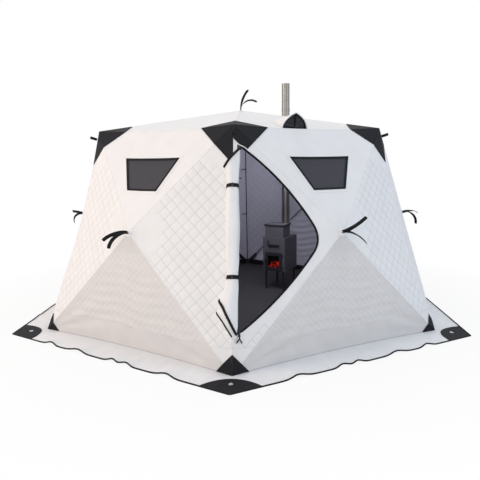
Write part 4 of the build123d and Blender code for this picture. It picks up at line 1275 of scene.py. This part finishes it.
tube_set("skirt_seam", ground_seams, LINING)
tube_set("inner_corner_tapes", inner_tapes, DARK_CLOTH)

# %% [markdown]
# **Floor mat and inner band.** The mat fills the floor inside the pulled-in walls. The outline follows
# the same curve as the foot of the wall, a little further in. A charcoal band stands along the foot of
# the walls.

# %% Floor mat and inner band
MAT_INSET = 0.026
MAT_THICKNESS = 0.006
MAT_LAYER = 0.004
MAT_HEM = 0.03
BAND_STEPS = 16
# Inset and height of the band's lower and upper edge
BAND_FOOT, BAND_HEAD = (0.016, 0.004), (0.032, 0.075)
BAND_LAYER = 0.002
RING_COUNT = SIDES * BAND_STEPS


def foot_ring(inset, height):
    """Points round the foot of the walls, an inset inside them."""
    ring = []
    for i in range(SIDES):
        for k in range(BAND_STEPS):
            point = skirt_point(i, k / BAND_STEPS, 0)
            point -= level(point) * inset
            point.z = height
            ring.append(point)
    return ring


def foot_circle(name, fill, inset, height):
    """A circle whose points are moved to the foot of the walls."""
    deselect()
    bpy.ops.mesh.primitive_circle_add(vertices=RING_COUNT, fill_type=fill)
    piece = bpy.context.object
    piece.name = name
    for vertex, point in zip(piece.data.vertices, foot_ring(inset, height)):
        vertex.co = point
    return piece


mat = foot_circle("floor_mat_sheet", "NGON", MAT_INSET, MAT_THICKNESS)
edit_all(mat, OUTWARDS, (bpy.ops.mesh.inset, {"thickness": MAT_HEM, "depth": 0.0}))
sew_sheet(mat, MAT_LAYER, -1, [MAT_RUBBER], ["floor_mat"])

band = foot_circle("inner_foot_band", "NOTHING", *BAND_FOOT)
edit_all(band, (bpy.ops.mesh.extrude_region_move, {}))
for vertex, point in zip(list(band.data.vertices)[RING_COUNT:], foot_ring(*BAND_HEAD)):
    vertex.co = point
sew_sheet(band, BAND_LAYER, 0, [DARK_CLOTH], [])

# %% [markdown]
# **Pull straps.** Each hub has a webbing strap sewn on a small square patch, with two tails to pull the
# hub out by. A tail is a ribbon along an arc that twists a little towards its end, as webbing does. It
# bends the way that the CAD strap bends, and Solidify gives it its thickness.

# %% Pull straps
STRAP_LENGTH = 0.245
STRAP_WIDTH = 0.030
STRAP_THICKNESS = 0.0026
STRAP_LIFT = 0.004
STRAP_STEPS, STRAP_ROWS = 18, 2
STRAP_END, STRAP_NARROWING = (0.93, 1.0), 0.25
TWIST_RANGE = (0.0, 0.6)
WALL_TWIST, ROOF_TWIST = -42, 40
# Clock angle and bend in degrees of each tail, near those of the CAD model
WALL_STRAP_TAILS = (((38, 70), (-48, 105)), ((-30, 75), (-80, 112)), ((-115, 100), (-60, 112)),
                    ((-125, 105), (-70, 110)), ((196, 72), (-118, 110)), ((214, 108), (-120, 122)))
ROOF_STRAP_TAILS = ((20, 42), (-10, 128))
HUB_PATCH = 0.066
PATCH_STEPS, PATCH_LAYER = 8, 0.002
PATCH_CROWN, PATCH_DROP = 0.0045, 0.018
ROOF_AXES = (Vector((1, 0, 0)), Vector((0, 1, 0)), UP)


def hub_frame(i):
    """Across, up and out at a wall's hub."""
    hub = ("hub", i)
    out = sum((normal(panel) for panel, labels in PANELS.items() if hub in labels), Vector()).normalized()
    across = at(1, WALL_ANGLES[i] + 90, 0)
    return across, out.cross(across), out


def strap_tail(origin, across, up, out, clock, bend_angle, twist):
    """One webbing tail that bends over towards its clock angle."""
    sideways = across * cos(radians(clock)) + up * sin(radians(clock))
    flat = sideways.cross(out)
    radius = STRAP_LENGTH / radians(bend_angle)

    def place(x, y):
        share = (x + 1) / 2
        turn = radians(bend_angle) * share
        middle = origin + sideways * (radius * (1 - cos(turn))) + out * (radius * sin(turn))
        lean = radians(twist) * eased(share, *TWIST_RANGE)
        raised = sideways * cos(turn) - out * sin(turn)
        width = STRAP_WIDTH / 2 * y * (1 - STRAP_NARROWING * eased(share, *STRAP_END))
        return middle + (flat * cos(lean) + raised * sin(lean)) * width

    tail = grid(STRAP_STEPS, STRAP_ROWS, place)
    finish_with(tail, "SOLIDIFY", thickness=STRAP_THICKNESS, offset=0)
    return tail


def hub_patch(origin, across, up, out):
    """A square of cloth on a hub, crowned in the middle."""
    patch = grid(PATCH_STEPS, PATCH_STEPS, lambda x, y: origin + (across * x + up * y) * (HUB_PATCH / 2)
                 + out * (PATCH_CROWN - PATCH_DROP * (x * x + y * y) / 2))
    finish_with(patch, "SOLIDIFY", thickness=PATCH_LAYER, offset=1)
    return patch


tails, patches = [], []
for i in range(SIDES):
    axes = hub_frame(i)
    root = POINTS["hub", i] + axes[2] * STRAP_LIFT
    tails += [strap_tail(root, *axes, *tail, WALL_TWIST) for tail in WALL_STRAP_TAILS[i]]
    patches.append(hub_patch(POINTS["hub", i], *axes))
tails += [strap_tail(POINTS["roof", 0], *ROOF_AXES, *tail, ROOF_TWIST) for tail in ROOF_STRAP_TAILS]
patches.append(hub_patch(POINTS["roof", 0], *ROOF_AXES))
straps = join("pull_strap_webbing", tails)
dress(straps, [WEBBING])
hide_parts("pull_straps")
hub_patches = join("hub_patches", patches)
dress(hub_patches, [SKIRT_CLOTH])

# %% [markdown]
# **Guy tabs.** Below every top corner a short webbing loop takes a guy rope. It is a ribbon that runs out
# from the corner and doubles back on itself, so its end is a soft fold.

# %% Guy tabs
GUY_DROP = 0.078
GUY_REACH = 0.064
GUY_WIDTH = 0.025
GUY_LOOP = 0.008
GUY_LIFT, GUY_THICKNESS = 0.004, 0.0016
GUY_STEPS, GUY_ROWS = 20, 2
GUY_REACH_CURVE, GUY_SWELL_CURVE, GUY_SPREAD = 0.5, 0.3, 0.0015


def guy_loop(i):
    """A folded ribbon at a top corner."""
    edge = (POINTS["top", i] - POINTS["base", i]).normalized()
    away = at(1, CORNER_ANGLES[i], 0)
    out = (away - edge * edge.dot(away)).normalized()
    side = out.cross(edge)
    root = POINTS["top", i] - edge * GUY_DROP + out * GUY_LIFT

    def place(x, y):
        turn = pi * x / 2
        reach = GUY_REACH * cos(turn) ** GUY_REACH_CURVE if abs(x) < 1 else 0.0
        swell = GUY_LOOP / 2 * sin(turn) * (1 - abs(x)) ** GUY_SWELL_CURVE + GUY_SPREAD * x
        return root + out * reach + side * swell + edge * (GUY_WIDTH / 2 * y)

    loop = grid(GUY_STEPS, GUY_ROWS, place)
    finish_with(loop, "SOLIDIFY", thickness=GUY_THICKNESS, offset=0)
    return loop


guys = join("guy_loops", [guy_loop(i) for i in range(SIDES)])
dress(guys, [WEBBING])
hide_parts("guy_tabs")

# %% [markdown]
# **Roof vent.** A small hood of cloth stands on the roof over a mesh front. Across the mesh run webbing
# straps that prop it open, one of them along the roof, and a white piping edges the hood's mouth.

# %% Roof vent
VENT_SHIFT = -0.141
VENT_SETBACK = 0.038
VENT_LIFT = 0.002
VENT_WIDTH = 0.257
VENT_HEIGHT = 0.132
VENT_LENGTH = 0.330
VENT_TAIL_SHARE = 0.16
VENT_POINT_SHARE = 0.35
VENT_STEPS = 24
HOOD_ROWS, HOOD_THICKNESS, HOOD_WIDTH = 12, 0.003, 0.34
NET_ROWS, NET_INSET, NET_SHARE, NET_FOOT, NET_THICKNESS = 6, 0.010, 0.97, 0.002, 0.001
VENT_RIM_RADIUS = 0.005
VENT_BAR_RISE = 0.004
VENT_BAR_SHARES = (-0.46, -0.2, 0.2, 0.46)
# Each strap's radius, its setback and its points as shares of the vent's width and height
VENT_STRAPS = (
    (0.007, -0.002, tuple((share, VENT_BAR_RISE / VENT_HEIGHT) for share in VENT_BAR_SHARES)),
    (0.008, 0.002, ((0, 0.02), (0, 0.5), (0, 0.93))),
    (0.007, 0.002, ((0.44, 0.05), (0.34, 0.52), (0.02, 0.92))),
)
ROOF_PANEL = ("roof", 0)
roof_left, roof_right, _ = corners(ROOF_PANEL)
ROOF_X = (roof_right - roof_left).normalized()
ROOF_Z = normal(ROOF_PANEL)
ROOF_Y = ROOF_Z.cross(ROOF_X)


def vent_place(x, y, z):
    """Point on the vent: across, up the slope from its front and off the roof cloth."""
    flat = (roof_left + roof_right) / 2 + ROOF_X * (VENT_SHIFT + x) + ROOF_Y * (VENT_SETBACK + y)
    return settled(ROOF_PANEL, flat) + ROOF_Z * (z + VENT_LIFT)


def vent_arch(turn, size):
    """Across and up of the hood's pointed arch, from -1 to 1 round it."""
    side = sin(turn * pi / 2)
    rise = VENT_POINT_SHARE * (1 - abs(side)) + (1 - VENT_POINT_SHARE) * cos(turn * pi / 2)
    return VENT_WIDTH / 2 * side * size, VENT_HEIGHT * rise * size


def hood_place(x, y):
    """Point of the hood, which narrows to its tail."""
    back = (y + 1) / 2
    across, rise = vent_arch(x, 1 - (1 - VENT_TAIL_SHARE) * back)
    return vent_place(across, VENT_LENGTH * back, rise)


def net_place(x, y):
    """Point of the mesh in the hood's mouth."""
    across, rise = vent_arch(x, NET_SHARE)
    return vent_place(across, NET_INSET, max(rise * (y + 1) / 2, NET_FOOT))


hood = grid(VENT_STEPS, HOOD_ROWS, hood_place)
hood.name = "vent_hood_cloth"
sew_sheet(hood, HOOD_THICKNESS, -1, [SHELL_CLOTH], ["vent_hood"])
net = grid(VENT_STEPS, NET_ROWS, net_place)
net.name = "vent_mesh_net"
sew_sheet(net, NET_THICKNESS, 0, [VENT_MESH], ["vent_mesh"])
arch = [vent_arch(2 * k / VENT_STEPS - 1, 1.0) for k in range(VENT_STEPS + 1)]
tube_set("vent_rim", [([vent_place(x, 0.0, z) for x, z in arch], VENT_RIM_RADIUS)], SKIRT_CLOTH)
tube_set("vent_straps", [
    ([vent_place(VENT_WIDTH * x, setback, VENT_HEIGHT * z) for x, z in points], radius)
    for radius, setback, points in VENT_STRAPS])

# %% [markdown]
# **Skirt patches.** Charcoal cloth strengthens every corner of the skirt. Its outer edges follow the
# skirt, and its inner edge is an arch from one to the other.

# %% Skirt patches
SKIRT_PATCH_REACH = 0.262
SKIRT_PATCH_ARCH = 0.250
SKIRT_PATCH_LIFT = 0.0015
SKIRT_PATCH_STEPS, SKIRT_PATCH_ROWS = 24, 6
PATCH_HEM = 0.004


def skirt_patch(i):
    """A patch whose rows run from the skirt's outer edges to the arch."""
    tip = at(SKIRT_RADIUS, CORNER_ANGLES[i], 0)
    first, last = (tip + (at(SKIRT_RADIUS, CORNER_ANGLES[(i + way) % SIDES], 0) - tip).normalized()
                   * SKIRT_PATCH_REACH for way in (-1, 1))
    bulge = at(SKIRT_RADIUS - SKIRT_PATCH_ARCH, CORNER_ANGLES[i], 0) * 2 - (first + last) / 2

    def place(x, y):
        u, v = (x + 1) / 2, (y + 1) / 2
        outer = first.lerp(tip, 2 * u) if u < 0.5 else tip.lerp(last, 2 * u - 1)
        point = outer.lerp(bend(first, bulge, last, u), v)
        point.z = SKIRT_THICKNESS + SKIRT_PATCH_LIFT + PATCH_HEM * v * (1 - v) * abs(2 * u - 1)
        return point

    return weld(grid(SKIRT_PATCH_STEPS, SKIRT_PATCH_ROWS, place))


ground_patches = join("skirt_patch_cloth", [skirt_patch(i) for i in range(SIDES)])
if sum(face.normal.z for face in ground_patches.data.polygons) < 0:
    ground_patches.data.flip_normals()
sew_sheet(ground_patches, PATCH_LAYER, 1, [DARK_CLOTH], ["skirt_patches"])

# %% [markdown]
# **Eyelets.** Each skirt corner is pegged through a pressed eyelet: a rolled rim round the CAD barrel.
# The rim is a torus, flattened as by the press. It is made once and copied to the other corners, each
# copy with a mesh of its own.

# %% Eyelet rims
EYELET_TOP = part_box("eyelets")[1][2]
EYELET_INSET = 0.160
EYELET_RADIUS = SKIRT_RADIUS - EYELET_INSET
RIM_RADIUS, RIM_ROUND, RIM_FLATNESS = 0.0125, 0.0045, 0.6


def copied_to(piece, places):
    """Move a piece to the first of some places, and copies with their own mesh to the others."""
    copies = [piece]
    for _ in places[1:]:
        copies.append(piece.copy())
        copies[-1].data = piece.data.copy()
        bpy.context.scene.collection.objects.link(copies[-1])
    for copy, place in zip(copies, places):
        copy.data.transform(Matrix.Translation(place))
    return copies


deselect()
bpy.ops.mesh.primitive_torus_add(major_radius=RIM_RADIUS, minor_radius=RIM_ROUND, major_segments=28,
                                 minor_segments=8)
rim = bpy.context.object
rim.data.transform(Matrix.Diagonal((1, 1, RIM_FLATNESS, 1)))
rims = copied_to(rim, [at(EYELET_RADIUS, angle, EYELET_TOP) for angle in CORNER_ANGLES])
dress(join("eyelet_rims", rims), [EYELET_BRASS])

# %% [markdown]
# **Stove details.** Behind the smoked glass lies a bed of embers. Above the door a black lever works
# the air slide, the lid has a black rim and the body is put together with rivets.

# %% Stove details
STOVE_PLACE = Vector((0.446, 0.612, 0.006))
STOVE_TURN = radians(-25)
STOVE_AXES = Matrix.Translation(STOVE_PLACE) @ Matrix.Rotation(STOVE_TURN, 4, "Z")
STOVE_DEPTH, STOVE_HEIGHT, LEG_HEIGHT = 0.400, 0.405, 0.228
STOVE_FRONT = -STOVE_DEPTH / 2
EMBER_MM = 35
EMBER_COUNT, EMBER_COLUMNS = 9, 5
EMBER_RADIUS, EMBER_SHRINK, EMBER_LUMPS = 0.034, 0.0015, 0.16
EMBER_WAVES = (190, 170, 150)
# Place of the first ember, the step along a row and the step from one row to the next
EMBER_START, EMBER_STEP, EMBER_ROW = (-0.07, -0.135, 0.034), 0.034, (0.015, 0.04, 0.042)
# Centre, with heights from the top of the legs, and size of the lever's bar and tip
LEVER = (((0, -0.009, 0.318), (0.146, 0.020, 0.020)), ((-0.064, -0.012, 0.345), (0.016, 0.014, 0.055)))
LEVER_BEVEL, LID_BEVEL = 0.004, 0.002
LID_LIFT, LID_BACK = 0.149, -0.078
LID_SIDES = ((0, 0.1135, (0.254, 0.006, 0.018)), (0.126, 0, (0.006, 0.228, 0.018)))
RIVET_SIDE, RIVET_HEIGHTS, RIVET_RADIUS = 0.125, (0.02, 0.14, 0.26, 0.385), 0.005


def on_stove(x, y, z):
    """Point in the stove's own axes: to its right, to its back and up from the top of its legs."""
    return STOVE_AXES @ Vector((x, y, LEG_HEIGHT + z))


def ember(k):
    """One lumpy ember of the bed."""
    deselect()
    bpy.ops.mesh.primitive_ico_sphere_add(subdivisions=3, radius=EMBER_RADIUS - EMBER_SHRINK * k)
    lump = bpy.context.object
    for vertex in lump.data.vertices:
        x, y, z = (place * rate for place, rate in zip(vertex.co, EMBER_WAVES))
        vertex.co *= 1 + EMBER_LUMPS * sin(x + k) * sin(y + 2 * k) * sin(z)
    column, row = k % EMBER_COLUMNS, k // EMBER_COLUMNS
    x, y, z = (start + step * row for start, step in zip(EMBER_START, EMBER_ROW))
    lump.data.transform(Matrix.Translation(on_stove(x + EMBER_STEP * column, y, z)))
    return lump


# Embers: dark crusts with a red glow in the cracks
EMBERS, tree, place = start_material("glowing_embers")
cracks = add_node(tree, "ShaderNodeTexNoise", inputs={
    "Vector": place, "Scale": 1000 / EMBER_MM, "Detail": 3.0})
heat = add_node(tree, "ShaderNodeMapRange", inputs={
    "Value": cracks.outputs["Fac"], "From Min": 0.45, "From Max": 0.66, "To Min": 0.05, "To Max": 1.6})
shader = add_node(tree, "ShaderNodeBsdfPrincipled", inputs={
    "Base Color": "#1A1212", "Roughness": 0.9, "Emission Color": "#D42A1E",
    "Emission Strength": heat.outputs["Result"]})
add_node(tree, "ShaderNodeOutputMaterial", inputs={"Surface": shader.outputs["BSDF"]})
dress(join("ember_bed", [ember(k) for k in range(EMBER_COUNT)]), [EMBERS], smooth=60)
dress(join("air_slide_lever", [
    block(STOVE_AXES, (x, STOVE_FRONT + y, LEG_HEIGHT + z), size, LEVER_BEVEL) for (x, y, z), size in LEVER]),
    [STOVE_BLACK])
lid = LEG_HEIGHT + STOVE_HEIGHT + LID_LIFT
dress(join("top_box_rim", [
    block(STOVE_AXES, (way * x, LID_BACK + way * y, lid), size, LID_BEVEL)
    for x, y, size in LID_SIDES for way in (-1, 1)]), [STOVE_BLACK])
deselect()
bpy.ops.mesh.primitive_uv_sphere_add(segments=10, ring_count=6, radius=RIVET_RADIUS)
rivets = copied_to(bpy.context.object, [on_stove(x, STOVE_FRONT, z) for x in (-RIVET_SIDE, RIVET_SIDE)
                                        for z in RIVET_HEIGHTS])
dress(join("stove_rivets", rivets), [FLUE_STEEL])

# %% [markdown]
# **Stage.** A pale floor and a white world stand for the studio. The camera sees both as white, the
# floor a little greyer near the hut. Light that bounces meets plain paper and a dimmer sky instead, so
# the hut isn't flooded with light.

# %% Stage
FLOOR_SIZE = 60
FLOOR_FADE, FLOOR_SHADE = (2.3, 3.6), 0.86
deselect()
bpy.ops.mesh.primitive_plane_add(size=FLOOR_SIZE)
floor = bpy.context.object
floor.name = "studio_floor"
material, tree, place = start_material("studio_floor_pale")
rays = add_node(tree, "ShaderNodeLightPath")
paper = add_node(tree, "ShaderNodeBsdfDiffuse", inputs={"Color": "#F2F2F2"})
glow = add_node(tree, "ShaderNodeEmission", inputs={"Color": "#FFFFFF", "Strength": 1.0})
away = add_node(tree, "ShaderNodeVectorMath", {"operation": "LENGTH"}, {0: place})
fade = add_node(tree, "ShaderNodeMapRange", inputs={
    "Value": away.outputs["Value"], "From Min": FLOOR_FADE[0], "From Max": FLOOR_FADE[1],
    "To Min": FLOOR_SHADE, "To Max": 1.0})
seen = add_node(tree, "ShaderNodeMath", {"operation": "MULTIPLY"}, {
    0: rays.outputs["Is Camera Ray"], 1: fade.outputs["Result"]})
both = add_node(tree, "ShaderNodeMixShader", inputs={
    0: seen.outputs[0], 1: paper.outputs[0], 2: glow.outputs[0]})
add_node(tree, "ShaderNodeOutputMaterial", inputs={"Surface": both.outputs[0]})
wear(floor, material)

world = bpy.data.worlds.new("studio_world")
bpy.context.scene.world = world
world.use_nodes = True
tree = world.node_tree
tree.nodes.clear()
rays = add_node(tree, "ShaderNodeLightPath")
seen = add_node(tree, "ShaderNodeMath", {"operation": "MAXIMUM"}, {
    0: rays.outputs["Is Camera Ray"], 1: rays.outputs["Is Transmission Ray"]})
seen = add_node(tree, "ShaderNodeMath", {"operation": "MAXIMUM"}, {
    0: seen.outputs[0], 1: rays.outputs["Is Glossy Ray"]})
ambient = add_node(tree, "ShaderNodeBackground", inputs={"Color": "#F7F8FA", "Strength": 0.5})
white = add_node(tree, "ShaderNodeBackground", inputs={"Color": "#FFFFFF", "Strength": 1.0})
both = add_node(tree, "ShaderNodeMixShader", inputs={
    0: seen.outputs[0], 1: ambient.outputs[0], 2: white.outputs[0]})
add_node(tree, "ShaderNodeOutputWorld", inputs={"Surface": both.outputs[0]})
print("floor of", FLOOR_SIZE, "metres under a white world")

# %% [markdown]
# **Light.** Large soft lamps, as in a studio: a slightly warm one on the left, a slightly cool one on the
# right, one in front and one above. A weak lamp inside lets the stove be read through the doorway.

# %% Lamps
# Name, place, target, size in metres, watts and colour
LAMPS = (
    ("lamp_left", (-8.0, -3.4, 3.6), (0, 0, 0.9), 4.0, 300, "#FFE6D6"),
    ("lamp_front", (-1.0, -9.0, 3.4), (0, 0, 0.9), 4.0, 120, "#FFFFFF"),
    ("lamp_right", (7.5, -4.0, 3.6), (0, 0, 0.9), 4.0, 150, "#CFE4FF"),
    ("lamp_top", (0, 0, 7.5), (0, 0, 0), 5.0, 120, "#FFFFFF"),
    ("lamp_inside", (0.2, -0.2, 1.75), (0.3, 0.6, 0.3), 0.9, 26, "#F2F2FF"),
)
for name, place, target, size, watts, colour in LAMPS:
    lamp = bpy.data.lights.new(name, "AREA")
    lamp.size = size
    lamp.energy = watts
    lamp.color = linear(colour)[:3]
    holder = bpy.data.objects.new(name, lamp)
    holder.location = place
    holder.rotation_euler = (Vector(target) - Vector(place)).to_track_quat("-Z", "Y").to_euler()
    bpy.context.scene.collection.objects.link(holder)
print(len(LAMPS), "lamps")

# %% [markdown]
# **Camera.** It stands where the photograph was taken from. Place, turn and focal length come from the fit
# of the hut's corners to the photograph, whose middle lies a little off the lens axis, so the lens is
# shifted by the same amount.

# %% Camera
CAMERA_PLACE = Vector((0.2268, -5.698, 1.5754))
AZIMUTH, ELEVATION, ROLL_ANGLE = radians(2.2795), radians(6.5069), radians(-0.5612)
PICTURE = 480
FOCAL_PIXELS = 516.637
PRINCIPAL = (241.81, 218.35)
SENSOR = 36.0
forward = Vector((-sin(AZIMUTH) * cos(ELEVATION), cos(AZIMUTH) * cos(ELEVATION), -sin(ELEVATION)))
right = Vector((cos(AZIMUTH), sin(AZIMUTH), 0))
up = right.cross(forward)
tilted_right = right * cos(ROLL_ANGLE) + up * sin(ROLL_ANGLE)
tilted_up = up * cos(ROLL_ANGLE) - right * sin(ROLL_ANGLE)
camera_data = bpy.data.cameras.new("camera")
camera_data.sensor_width = SENSOR
camera_data.lens = FOCAL_PIXELS * SENSOR / PICTURE
camera_data.shift_x = (PICTURE / 2 - PRINCIPAL[0]) / PICTURE
camera_data.shift_y = (PRINCIPAL[1] - PICTURE / 2) / PICTURE
camera_data.clip_end = 100
camera = bpy.data.objects.new("camera", camera_data)
turn = Matrix((tilted_right, tilted_up, -forward)).transposed().to_4x4()
camera.matrix_world = Matrix.Translation(CAMERA_PLACE) @ turn
bpy.context.scene.collection.objects.link(camera)
bpy.context.scene.camera = camera
bpy.context.scene.view_settings.view_transform = "Standard"
print("lens", round(camera_data.lens, 2), "mm")
